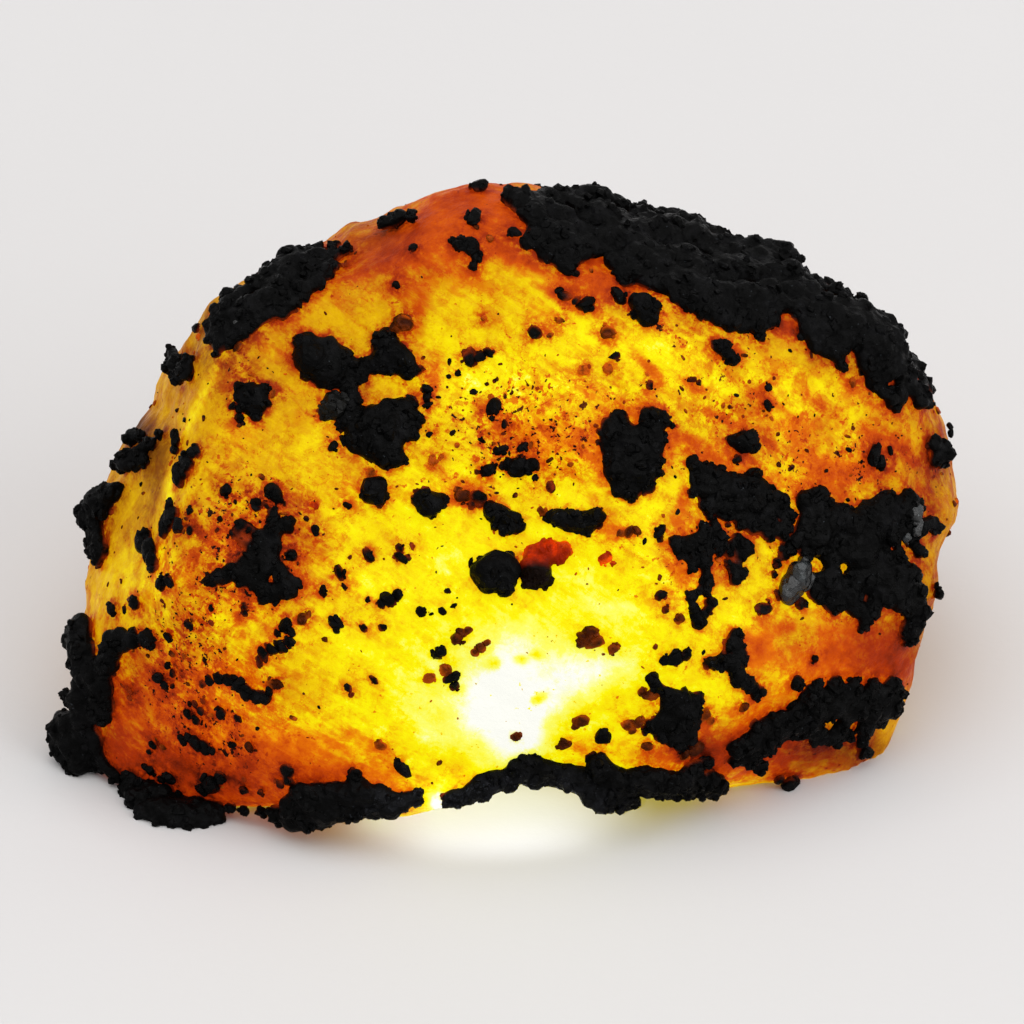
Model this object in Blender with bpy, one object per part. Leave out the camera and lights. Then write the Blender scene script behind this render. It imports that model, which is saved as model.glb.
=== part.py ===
"""A rough yellow sapphire, about 46 mm long, lying on its flat underside.

The stone is one solid: the space inside a set of named natural facets, with its edges worn round.
Black matrix minerals have grown on its skin in crusts. Each crust is one solid, made of angular
crystals that are joined together and cut to follow the skin.

A place on the skin is given by a mark. Marks lie on a plane that faces the broad front face and
leans back with it: across runs along +X, and up runs up that plane. A mark is carried straight
onto the skin, from the front or, for the crusts behind, from the back.
"""

import math
import random

import bmesh
import bpy
import numpy as np
from mathutils import Matrix, Vector

MM = 0.001

# The stone's heart, from which every facet's distance is measured, in mm.
HEART = np.array((0.5, 0.5, 12.0))
# How far the plane of marks leans back from upright, in degrees.
LEAN = 35.0
# Higher values wear the edges between the facets less.
EDGE_SHARPNESS = 30.0
# Clear space between the stone's skin and the crusts on it, in mm.
CRUST_GAP = 0.3

# Each natural facet: its outward direction (x, y, z) and its distance from the heart in mm.
FACETS = {
    "broad_face": ((-0.04, -0.78, 0.63), 9.8),
    "right_front": ((0.45, -0.73, 0.51), 12.3),
    "right_cheek": ((0.80, -0.46, 0.38), 18.3),
    "left_flank": ((-0.85, -0.25, 0.44), 17.6),
    "lower_front": ((0.00, -0.97, 0.20), 12.7),
    "lower_left_front": ((-0.55, -0.82, 0.05), 18.2),
    "lower_right_front": ((0.50, -0.86, -0.10), 16.5),
    "top_left": ((-0.30, 0.05, 0.94), 14.6),
    "top_right": ((0.35, 0.06, 0.94), 14.2),
    "left_crest": ((-0.41, 0.60, 0.69), 14.5),
    "crest": ((0.00, 0.65, 0.76), 14.4),
    "right_crest": ((0.28, 0.63, 0.73), 14.5),
    "upper_right_back": ((0.60, 0.54, 0.60), 17.5),
    "right_shoulder": ((0.83, 0.32, 0.46), 20.1),
    "upper_left_back": ((-0.88, 0.35, 0.33), 17.6),
    "left_end": ((-1.00, 0.00, 0.00), 21.1),
    "right_end": ((1.00, 0.06, 0.08), 22.9),
    "right_undercut": ((0.96, -0.16, -0.22), 22.1),
    "lower_right_corner": ((0.80, -0.34, -0.49), 23.6),
    "front_undercut": ((0.05, -0.57, -0.82), 16.0),
    "lower_left_corner": ((-0.60, -0.46, -0.66), 26.5),
    "underside": ((0.00, 0.00, -1.00), 12.6),
    "back": ((0.05, 0.98, 0.15), 13.9),
    "back_left": ((-0.62, 0.77, 0.15), 17.4),
    "back_right": ((0.66, 0.72, 0.20), 18.4),
    "back_undercut": ((0.00, 0.70, -0.71), 15.7),
    "left_back_undercut": ((-0.75, 0.35, -0.56), 20.0),
    "right_back_undercut": ((0.72, 0.40, -0.56), 20.6),
}

# Slow swells of the skin: (waves per turn along x, y, z), phase in turns, height in mm.
SWELLS = (
    ((0.8, 0.5, 0.3), 0.10, 0.25),
    ((-0.5, 1.1, 0.7), 0.35, 0.20),
    ((1.3, -0.7, 1.0), 0.60, 0.14),
    ((-1.6, -1.2, 1.4), 0.85, 0.10),
)

# Hollows worn into the skin: the point they centre on, in mm, their width and their depth in mm.
HOLLOWS = {
    "front_arch": ((2.0, -11.5, 0.6), 3.4, 2.6),
    "under_arch": ((1.4, -6.0, 0.0), 4.4, 3.0),
}

# Marks of each crust's crystals on the front, in mm: (across, up, radius).
FRONT_MARKS = {
    "top_crust": (
        (1.0, 23.6, 1.0), (2.3, 23.7, 1.1), (3.8, 23.6, 1.1), (4.9, 23.4, 1.0), (1.9, 22.4, 1.0),
        (3.3, 21.9, 1.1), (4.8, 22.1, 1.2), (3.5, 20.9, 0.7), (6.0, 22.4, 1.1), (7.4, 22.4, 1.2),
        (5.5, 20.9, 0.9), (6.9, 20.6, 1.1), (7.0, 18.9, 0.75), (8.9, 22.4, 1.1), (8.5, 20.9, 1.2),
        (9.9, 21.2, 1.1), (8.3, 19.7, 0.8), (9.9, 19.7, 1.1), (11.3, 20.9, 1.1), (11.4, 19.4, 1.2),
        (12.8, 20.9, 1.1), (10.7, 18.6, 0.7), (12.2, 18.2, 1.0), (13.9, 20.6, 1.1),
        (13.0, 19.4, 1.1), (14.4, 19.4, 1.2), (15.3, 18.4, 1.2), (15.7, 17.1, 0.9),
        (16.6, 18.6, 1.1), (16.8, 16.7, 1.0), (17.9, 17.9, 1.2), (18.3, 16.4, 1.1),
        (19.1, 16.9, 1.0), (19.5, 15.4, 1.0), (20.1, 14.3, 0.7), (20.9, 14.1, 0.6),
    ),
    "left_shoulder_crust": (
        (-14.4, 16.4, 0.7), (-14.0, 17.4, 0.9), (-13.3, 18.4, 0.9), (-13.5, 16.7, 0.6),
        (-12.5, 18.9, 1.0), (-12.7, 17.6, 0.7), (-11.5, 19.7, 1.1), (-11.6, 18.4, 0.6),
        (-10.3, 20.4, 1.1), (-10.5, 19.1, 0.6), (-9.1, 20.9, 0.8), (-8.0, 21.1, 0.6),
    ),
    "left_brow_grain": ((-15.9, 15.6, 0.85),),
    "top_left_grain": ((-5.7, 22.9, 0.6), (-4.8, 22.9, 0.55)),
    "left_rim_grain": ((-18.6, 10.8, 0.65), (-17.9, 11.7, 0.5)),
    "left_rim_crust": (
        (-19.4, 9.4, 0.6), (-20.4, 8.9, 0.8), (-20.7, 8.1, 0.75), (-20.4, 6.7, 0.7),
    ),
    "lower_left_crust": (
        (-21.0, 2.0, 1.0), (-20.5, 0.7, 1.0), (-19.1, 1.9, 0.7), (-18.1, 2.1, 0.55),
        (-20.2, -0.7, 1.0), (-21.5, -1.3, 0.6), (-21.2, -3.1, 1.0), (-20.2, -3.9, 0.85),
        (-21.9, -2.8, 0.65), (-20.2, -2.1, 0.95), (-20.9, -2.1, 0.85), (-19.7, 0.6, 0.6),
    ),
    "base_left_crust": (
        (-18.6, -5.5, 0.65), (-17.6, -5.8, 0.8), (-16.6, -6.2, 0.9), (-15.5, -6.3, 0.9),
        (-14.4, -6.5, 0.7), (-13.1, -6.2, 0.55), (-12.0, -6.2, 0.55), (-10.9, -6.2, 0.75),
        (-9.9, -6.2, 0.9), (-8.8, -6.0, 1.1), (-9.3, -7.0, 0.75), (-7.7, -6.2, 0.85),
        (-6.8, -6.5, 0.7), (-5.8, -6.0, 0.65), (-4.8, -6.0, 0.6), (-16.1, -5.3, 0.55),
        (-7.3, -5.3, 0.5),
    ),
    "base_right_crust": (
        (-2.1, -5.9, 0.6), (-1.2, -5.3, 0.75), (-0.1, -4.8, 0.8), (0.9, -4.2, 0.7),
        (2.1, -4.2, 0.65), (3.3, -4.5, 0.7), (4.4, -5.0, 0.9), (5.6, -5.5, 0.9), (6.9, -5.0, 0.85),
        (8.3, -5.0, 0.9), (9.7, -4.7, 0.85), (10.7, -4.8, 0.6), (4.5, -4.2, 0.55),
        (7.7, -4.2, 0.55),
    ),
    "right_crust": (
        (15.3, 8.6, 0.7), (16.2, 8.2, 0.8), (15.3, 7.2, 0.85), (16.6, 7.0, 1.0), (14.4, 6.0, 0.75),
        (14.3, 4.8, 0.7), (15.6, 4.8, 0.9), (16.9, 4.8, 1.0), (17.5, 7.8, 0.7), (18.0, 6.2, 0.95),
        (18.0, 4.0, 0.9), (19.0, 8.2, 0.8), (20.1, 8.2, 0.85), (21.2, 7.7, 0.6), (20.3, 6.8, 0.75),
        (19.3, 5.2, 0.85), (20.4, 5.0, 0.75), (20.6, 3.8, 0.7), (20.0, 2.8, 0.65),
        (18.5, 7.5, 0.75),
    ),
    "mid_right_crust": (
        (9.8, 10.2, 0.6), (10.6, 9.4, 0.9), (11.8, 8.9, 1.1), (13.0, 8.8, 1.0), (13.8, 8.2, 0.6),
        (10.2, 8.4, 0.6),
    ),
    "mid_right_branch": (
        (8.9, 6.5, 0.65), (10.0, 6.2, 0.5), (10.1, 5.2, 0.45), (11.0, 6.5, 0.55), (11.9, 6.5, 0.5),
        (11.5, 5.3, 0.45), (9.8, 4.0, 0.45), (9.7, 3.0, 0.4),
    ),
    "lower_right_crust": (
        (14.9, -0.7, 0.7), (16.0, -0.7, 0.8), (17.1, -0.6, 0.8), (18.3, -0.6, 0.8),
        (19.3, -0.7, 0.75), (19.1, -1.6, 0.7), (18.0, -1.9, 0.85), (16.9, -1.9, 0.75),
        (15.8, -1.8, 0.65), (14.8, -1.8, 0.65), (13.7, -2.1, 0.7), (12.9, -3.0, 0.75),
        (12.5, -4.2, 0.6),
    ),
    "lower_mid_crust": (
        (7.5, 0.0, 0.5), (8.2, -1.1, 0.7), (9.2, -1.2, 0.75), (9.4, -2.1, 0.7), (8.2, -2.5, 0.8),
        (8.9, -3.1, 0.6),
    ),
    "lower_mid_branch": (
        (11.5, 1.9, 0.5), (10.7, 1.1, 0.5), (11.7, 0.9, 0.6), (12.0, 0.1, 0.55),
        (12.7, -0.5, 0.45),
    ),
    "centre_crust": (
        (5.5, 12.4, 0.8), (7.7, 12.9, 0.55), (7.2, 11.4, 0.9), (5.9, 11.2, 1.0), (6.4, 9.9, 0.95),
    ),
    "upper_left_crust": (
        (-9.2, 16.4, 1.0), (-7.8, 15.6, 0.9), (-6.6, 15.6, 0.6), (-5.8, 16.7, 0.7),
        (-5.1, 16.1, 0.8), (-4.7, 15.2, 0.55), (-5.7, 14.2, 0.5), (-5.5, 13.3, 0.8),
        (-4.6, 13.1, 0.6), (-6.9, 12.8, 0.65), (-6.3, 12.2, 0.8), (-5.1, 11.7, 0.75),
        (-5.8, 11.1, 0.55),
    ),
    "grey_crystal": ((-8.3, 13.4, 0.6),),
    "left_face_crust": (
        (-11.2, 9.2, 0.45), (-11.7, 8.3, 0.4), (-12.8, 7.6, 0.6), (-10.8, 7.5, 0.5),
        (-12.0, 6.7, 0.6), (-12.0, 5.8, 0.8), (-13.4, 5.0, 0.6), (-10.9, 4.5, 0.65),
    ),
    "left_grain": ((-12.3, 13.8, 0.85),),
    "upper_grain": ((-2.1, 21.6, 0.5), (-1.2, 21.1, 0.6), (-1.4, 20.4, 0.45)),
    "right_upper_grain": ((10.9, 16.2, 0.65),),
    "right_mid_grain": ((11.9, 11.8, 0.65),),
    "right_rim_grain": ((21.9, 11.3, 0.65),),
    "centre_left_grain": ((-6.2, 9.5, 0.7),),
    "centre_grain": ((-3.6, 8.8, 0.75),),
    "centre_pair_grain": ((-0.3, 8.4, 0.6), (0.3, 7.8, 0.6)),
    "centre_long_grain": ((3.0, 8.0, 0.6), (3.9, 7.8, 0.65), (4.6, 7.8, 0.5)),
    "centre_low_grain": ((-0.5, 5.3, 1.1),),
    "red_grain": ((1.8, 5.4, 0.7), (2.5, 6.2, 0.65)),
}
# Places of the crystals behind, for the crusts that run on over the edge: (x, y, z, radius).
BACK_PLACES = {
    "top_crust": (
        (4.5, 8.5, 22.8, 1.4), (7.2, 9.5, 22.0, 1.6), (10.0, 9.5, 21.5, 1.7),
        (12.8, 9.0, 20.6, 1.7), (15.5, 8.2, 18.8, 1.5), (18.0, 7.0, 17.0, 1.2),
        (8.5, 12.0, 19.4, 1.4), (11.5, 12.0, 19.0, 1.5), (14.2, 11.0, 17.4, 1.3),
    ),
    "lower_left_crust": ((-20.8, 0.5, 4.5, 1.4), (-20.2, 3.2, 6.0, 1.2), (-19.8, 5.6, 4.2, 1.1)),
    "left_shoulder_crust": ((-11.5, 6.5, 21.5, 1.2), (-9.6, 8.0, 21.3, 1.2), (-13.0, 6.0, 19.2, 1.0)),
}

# A crystal is the hull of this many jittered points on a flattened ball.
CRYSTAL_POINTS = 12
CRYSTAL_JITTER = 0.14
CRYSTAL_FLATNESS = 0.85
# A crystal's radius over its mark's radius, so that neighbours run together.
CRYSTAL_GROWTH = 1.45
# How far a crystal's middle stands over the skin, as a share of its radius.
CRYSTAL_LIFT = 0.2
# The largest space between linked crystals, as a share of their radii together.
LINK_REACH = 0.62

# The ball that the skin is shaped from, in half-lengths in mm, and how often it is subdivided.
BALL = np.array((21.5, 14.0, 13.5))
BALL_SUBDIVISIONS = 6
# Share of the faces that is kept on the skin and on the crusts, fewest where they are flat.
SKIN_FACES_KEPT = 0.125
CRUST_FACES_KEPT = 0.45
SEED = 7


def up_axis():
    """The direction in which a mark's second number runs."""
    lean = math.radians(LEAN)
    return np.array((0.0, math.sin(lean), math.cos(lean)))


def out_axis():
    """The direction that the plane of marks faces, to the front and above."""
    lean = math.radians(LEAN)
    return np.array((0.0, -math.cos(lean), math.sin(lean)))


def facet_reach(directions):
    """Distance from the heart to the facets along unit directions, as a smooth minimum."""
    normals = np.array([facet[0] for facet in FACETS.values()])
    normals /= np.linalg.norm(normals, axis=1, keepdims=True)
    distances = np.array([facet[1] for facet in FACETS.values()])
    closeness = np.maximum(directions @ normals.T, 0.0) / distances
    return (closeness**EDGE_SHARPNESS).sum(axis=1) ** (-1.0 / EDGE_SHARPNESS)


def swell(directions):
    """Height of the slow swells along unit directions, in mm."""
    total = np.zeros(len(directions))
    for waves, phase, height in SWELLS:
        total += height * np.sin(2 * math.pi * (directions @ np.array(waves) + phase))
    return total


def skin_points(directions, lift=0.0):
    """Points of the stone's skin along unit directions, raised by lift, in mm."""
    points = HEART + directions * (facet_reach(directions) + swell(directions))[:, None]
    depth = np.zeros(len(points))
    for centre, width, deepest in HOLLOWS.values():
        distance = np.linalg.norm(points - np.array(centre), axis=1)
        depth += deepest * np.exp(-((distance / width) ** 2))
    return points + directions * (lift - depth)[:, None]


def ball():
    """Unit directions and triangles of a ball stretched like the stone, so that they spread evenly."""
    shape = bmesh.new()
    bmesh.ops.create_icosphere(shape, subdivisions=BALL_SUBDIVISIONS, radius=1.0)
    corners = np.array([vertex.co for vertex in shape.verts]) * BALL
    triangles = [[vertex.index for vertex in face.verts] for face in shape.faces]
    shape.free()
    return corners / np.linalg.norm(corners, axis=1, keepdims=True), triangles


def clear_scene():
    """Removes every object of the open file."""
    for item in list(bpy.data.objects):
        bpy.data.objects.remove(item)


def new_collection(name, helper=False):
    """A collection under the scene's own. A helper collection isn't rendered."""
    collection = bpy.data.collections.new(name)
    bpy.context.scene.collection.children.link(collection)
    collection.hide_render = helper
    return collection


def new_material(name, colour, roughness):
    """A Principled material with one colour."""
    material = bpy.data.materials.new(name)
    material.use_nodes = True
    shader = material.node_tree.nodes["Principled BSDF"]
    shader.inputs["Base Color"].default_value = (*colour, 1.0)
    shader.inputs["Roughness"].default_value = roughness
    return material


def add_object(name, mesh, collection, material=None):
    """An object for a mesh, at the origin."""
    item = bpy.data.objects.new(name, mesh)
    collection.objects.link(item)
    if material:
        mesh.materials.append(material)
    return item


def add_helper(name, mesh, collection):
    """An object that only cuts or joins: it is drawn as wires and isn't rendered."""
    item = add_object(name, mesh, collection)
    item.hide_render = True
    item.display_type = "WIRE"
    return item


def add_boolean(item, name, operation, other):
    """An exact Boolean modifier with an object, or with every object of a collection."""
    modifier = item.modifiers.new(name, "BOOLEAN")
    modifier.operation = operation
    modifier.solver = "EXACT"
    if isinstance(other, bpy.types.Collection):
        modifier.operand_type = "COLLECTION"
        modifier.collection = other
    else:
        modifier.object = other
    return modifier


def skin_mesh(name, lift=0.0):
    """The stone's closed skin, raised by lift in mm, before the ground cuts it."""
    directions, triangles = ball()
    mesh = bpy.data.meshes.new(name)
    mesh.from_pydata((skin_points(directions, lift) * MM).tolist(), [], triangles)
    return mesh


def thin_faces(item, share):
    """Keeps a share of the faces, most where the shape bends."""
    thin = item.modifiers.new("thin_faces", "DECIMATE")
    thin.ratio = share


def ground_block(collection):
    """A block whose top is the ground, z = 0."""
    shape = bmesh.new()
    bmesh.ops.create_cube(shape, size=1.0)
    bmesh.ops.scale(shape, vec=(80 * MM, 80 * MM, 20 * MM), verts=shape.verts)
    bmesh.ops.translate(shape, vec=(0, 0, -10 * MM), verts=shape.verts)
    mesh = bpy.data.meshes.new("ground_block")
    shape.to_mesh(mesh)
    shape.free()
    return add_helper("ground_block", mesh, collection)


def crystal_at(foot, radius):
    """The middle of the crystal that stands on a foot point, its outward direction and radius."""
    outward = (foot - HEART) / np.linalg.norm(foot - HEART)
    return foot + outward * radius * CRYSTAL_LIFT, outward, radius


def crystal_at_mark(skin, mark):
    """The crystal for a front mark.

    It stands on the skin point nearest the mark on the plane of marks and, of those, the one that
    stands out most to the front. Its middle is then moved along that plane to the mark.
    """
    across, up, radius = mark
    aside = (skin[:, 0] - across) ** 2 + (skin @ up_axis() - up) ** 2
    foot = skin[np.argmin(aside * 2.0 - (skin @ out_axis()) * 0.35)]
    shift = np.array((across - foot[0], 0.0, 0.0)) + up_axis() * (up - foot @ up_axis())
    middle, outward, _ = crystal_at(foot, radius)
    return middle + shift, outward, radius


def crystal_at_place(skin, place):
    """The crystal for a place behind: it stands on the nearest skin point."""
    nearest = np.argmin(np.linalg.norm(skin - np.array(place[:3]), axis=1))
    return crystal_at(skin[nearest], place[3])


def linked(crystals, skin):
    """The crystals, with further ones between any two neighbours too far apart to join."""
    found = [crystals[0]]
    for middle, outward, radius in crystals[1:]:
        spaces = [np.linalg.norm(middle - other[0]) / (radius + other[2]) for other in found]
        near = found[int(np.argmin(spaces))]
        pieces = math.ceil(min(spaces) / LINK_REACH)
        for piece in range(1, pieces):
            share = piece / pieces
            between = near[0] * (1 - share) + middle * share
            found.append(crystal_at_place(skin, (*between, min(radius, near[2]) * 0.9)))
        found.append((middle, outward, radius))
    return found


def crystal_mesh(name, middle, outward, radius, dice):
    """An angular crystal: the hull of jittered points on a ball flattened along outward."""
    golden_turn = math.pi * (3 - math.sqrt(5))
    frame = Vector(outward).to_track_quat("Z", "Y").to_matrix()
    spin = Matrix.Rotation(dice.uniform(0, 2 * math.pi), 3, "Z")
    shape = bmesh.new()
    for index in range(CRYSTAL_POINTS):
        height = 1 - 2 * (index + 0.5) / CRYSTAL_POINTS
        ring = math.sqrt(1 - height**2)
        turn = index * golden_turn
        point = Vector((ring * math.cos(turn), ring * math.sin(turn), height * CRYSTAL_FLATNESS))
        point *= radius * CRYSTAL_GROWTH * (1 + dice.uniform(-CRYSTAL_JITTER, CRYSTAL_JITTER))
        shape.verts.new((Vector(middle) + frame @ spin @ point) * MM)
    hull = bmesh.ops.convex_hull(shape, input=shape.verts)
    inner = [piece for piece in hull["geom_interior"] if isinstance(piece, bmesh.types.BMVert)]
    bmesh.ops.delete(shape, geom=inner, context="VERTS")
    bmesh.ops.recalc_face_normals(shape, faces=shape.faces)
    mesh = bpy.data.meshes.new(name)
    shape.to_mesh(mesh)
    shape.free()
    return mesh


def add_crust(name, crystals, grown_stone, ground, collection, material, dice):
    """One crust: its crystals joined, less the grown stone and the ground."""
    helpers = new_collection(f"{name}_crystals", helper=True)
    meshes = [
        crystal_mesh(f"{name}_{number}", middle, outward, radius, dice)
        for number, (middle, outward, radius) in enumerate(crystals)
    ]
    crust = add_object(name, meshes[0], collection, material)
    for mesh in meshes[1:]:
        add_helper(mesh.name, mesh, helpers)
    if len(meshes) > 1:
        add_boolean(crust, "join_crystals", "UNION", helpers)
    add_boolean(crust, "follow_skin", "DIFFERENCE", grown_stone)
    thin_faces(crust, CRUST_FACES_KEPT)
    add_boolean(crust, "stand_on_ground", "DIFFERENCE", ground)


def main():
    """Builds the stone and the crusts on it."""
    clear_scene()
    dice = random.Random(SEED)
    parts = new_collection("rough_sapphire")
    helpers = new_collection("cutters", helper=True)
    sapphire = new_material("yellow_sapphire", (0.86, 0.45, 0.03), 0.35)
    matrix = new_material("black_matrix", (0.012, 0.012, 0.013), 0.42)
    red = new_material("red_brown_grain", (0.22, 0.035, 0.008), 0.3)
    ground = ground_block(helpers)
    stone = add_object("sapphire", skin_mesh("sapphire"), parts, sapphire)
    thin_faces(stone, SKIN_FACES_KEPT)
    add_boolean(stone, "rest_face", "DIFFERENCE", ground)
    grown = add_helper("grown_stone", skin_mesh("grown_stone", CRUST_GAP), helpers)
    thin_faces(grown, SKIN_FACES_KEPT)
    skin = skin_points(ball()[0])
    skin = skin[skin[:, 2] > 0.0]
    for name, marks in FRONT_MARKS.items():
        crystals = [crystal_at_mark(skin, mark) for mark in marks]
        crystals += [crystal_at_place(skin, place) for place in BACK_PLACES.get(name, ())]
        material = red if name == "red_grain" else matrix
        add_crust(name, linked(crystals, skin), grown, ground, parts, material, dice)


main()
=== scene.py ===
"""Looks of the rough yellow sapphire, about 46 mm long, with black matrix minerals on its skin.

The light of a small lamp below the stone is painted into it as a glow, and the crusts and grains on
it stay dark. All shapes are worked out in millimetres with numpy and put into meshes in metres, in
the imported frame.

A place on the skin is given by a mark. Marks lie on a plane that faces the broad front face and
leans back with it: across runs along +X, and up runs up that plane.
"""

from __future__ import annotations

import itertools
import logging
import math
from dataclasses import dataclass, field
from enum import Enum
from typing import NamedTuple, Union

import bpy
import numpy as np
from mathutils import Vector
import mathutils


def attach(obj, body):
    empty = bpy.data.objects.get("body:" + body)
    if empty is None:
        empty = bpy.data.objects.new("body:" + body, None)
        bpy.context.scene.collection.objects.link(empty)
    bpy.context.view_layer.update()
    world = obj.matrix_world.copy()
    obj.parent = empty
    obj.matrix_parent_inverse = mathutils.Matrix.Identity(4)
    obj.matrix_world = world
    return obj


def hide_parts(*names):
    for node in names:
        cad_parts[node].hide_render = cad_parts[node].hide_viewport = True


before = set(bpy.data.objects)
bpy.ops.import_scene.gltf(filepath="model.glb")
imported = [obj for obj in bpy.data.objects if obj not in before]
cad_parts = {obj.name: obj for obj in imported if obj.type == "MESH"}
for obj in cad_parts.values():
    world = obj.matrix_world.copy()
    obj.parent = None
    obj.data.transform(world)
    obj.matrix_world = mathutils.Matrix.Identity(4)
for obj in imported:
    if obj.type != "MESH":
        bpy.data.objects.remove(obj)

LOG = logging.getLogger("rough_sapphire")

MM = 0.001

# The stone's heart, from which every facet's distance is measured, in mm.
HEART = np.array((0.5, 0.5, 12.0))
# How far the plane of marks leans back from upright: 35 degrees.
LEAN = math.radians(35.0)
# The plane's own directions: along it to the right, up along it, and out of it to the front.
ACROSS = np.array((1.0, 0.0, 0.0))
UP = np.array((0.0, math.sin(LEAN), math.cos(LEAN)))
OUT = np.array((0.0, -math.cos(LEAN), math.sin(LEAN)))

# Drawn marks are in drawing units, counted right and down from the drawing's corner.
UNITS_PER_MM = 20.0
DRAWN_ACROSS_ZERO = 502.0
DRAWN_UP_ZERO = 679.0

# A distance in mm that is longer than any on the stone.
FAR_OFF = 99.0

Array = np.ndarray
Pair = tuple[float, float]
Triple = tuple[float, float, float]

# Each natural facet: its outward direction (x, y, z) and its distance from the heart in mm.
FACETS = {
    "broad_face": ((-0.04, -0.78, 0.63), 9.8),
    "right_front": ((0.45, -0.73, 0.51), 12.3),
    "right_cheek": ((0.80, -0.46, 0.38), 18.3),
    "left_flank": ((-0.85, -0.25, 0.44), 17.6),
    "lower_front": ((0.00, -0.97, 0.20), 12.7),
    "lower_left_front": ((-0.55, -0.82, 0.05), 18.2),
    "lower_right_front": ((0.50, -0.86, -0.10), 16.5),
    "top_left": ((-0.30, 0.05, 0.94), 14.6),
    "top_right": ((0.35, 0.06, 0.94), 14.2),
    "left_crest": ((-0.41, 0.60, 0.69), 14.05),
    "crest": ((0.00, 0.65, 0.76), 14.15),
    "right_crest": ((0.28, 0.63, 0.73), 14.5),
    "upper_right_back": ((0.60, 0.54, 0.60), 17.2),
    "right_shoulder": ((0.83, 0.32, 0.46), 19.7),
    "upper_left_back": ((-0.88, 0.35, 0.33), 17.6),
    "left_end": ((-1.00, 0.00, 0.00), 21.1),
    "right_end": ((1.00, 0.06, 0.08), 22.9),
    "right_undercut": ((0.96, -0.16, -0.22), 22.1),
    "lower_right_corner": ((0.80, -0.34, -0.49), 23.6),
    "front_undercut": ((0.05, -0.57, -0.82), 16.0),
    "lower_left_corner": ((-0.60, -0.46, -0.66), 26.5),
    "underside": ((0.00, 0.00, -1.00), 12.6),
    "back": ((0.05, 0.98, 0.15), 13.9),
    "back_left": ((-0.62, 0.77, 0.15), 17.4),
    "back_right": ((0.66, 0.72, 0.20), 18.4),
    "back_undercut": ((0.00, 0.70, -0.71), 15.7),
    "left_back_undercut": ((-0.75, 0.35, -0.56), 20.0),
    "right_back_undercut": ((0.72, 0.40, -0.56), 20.6),
}
# Slow swells of the skin: (waves along x, y and z), phase in turns, height in mm.
SWELLS = (
    ((0.8, 0.5, 0.3), 0.10, 0.25),
    ((-0.5, 1.1, 0.7), 0.35, 0.20),
    ((1.3, -0.7, 1.0), 0.60, 0.14),
    ((-1.6, -1.2, 1.4), 0.85, 0.10),
)
# Hollows worn into the skin: the point they centre on, in mm, their width and their depth in mm.
HOLLOWS = {
    "front_arch": ((2.0, -11.5, 0.6), 3.4, 2.6),
    "under_arch": ((1.4, -6.0, 0.0), 4.4, 3.0),
}
# Knobs and one dent of the skin: (right, down, width) in drawing units, and height in mm.
KNOBS = (
    ((357, 236, 16), 0.25),
    ((246, 284, 12), 0.15),
    ((140, 452, 20), 0.35),
    ((150, 404, 20), -0.45),
    ((104, 500, 18), 0.4),
    ((950, 514, 30), 0.7),
    ((935, 590, 30), 0.3),
    ((845, 764, 16), 0.25),
)

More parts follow.
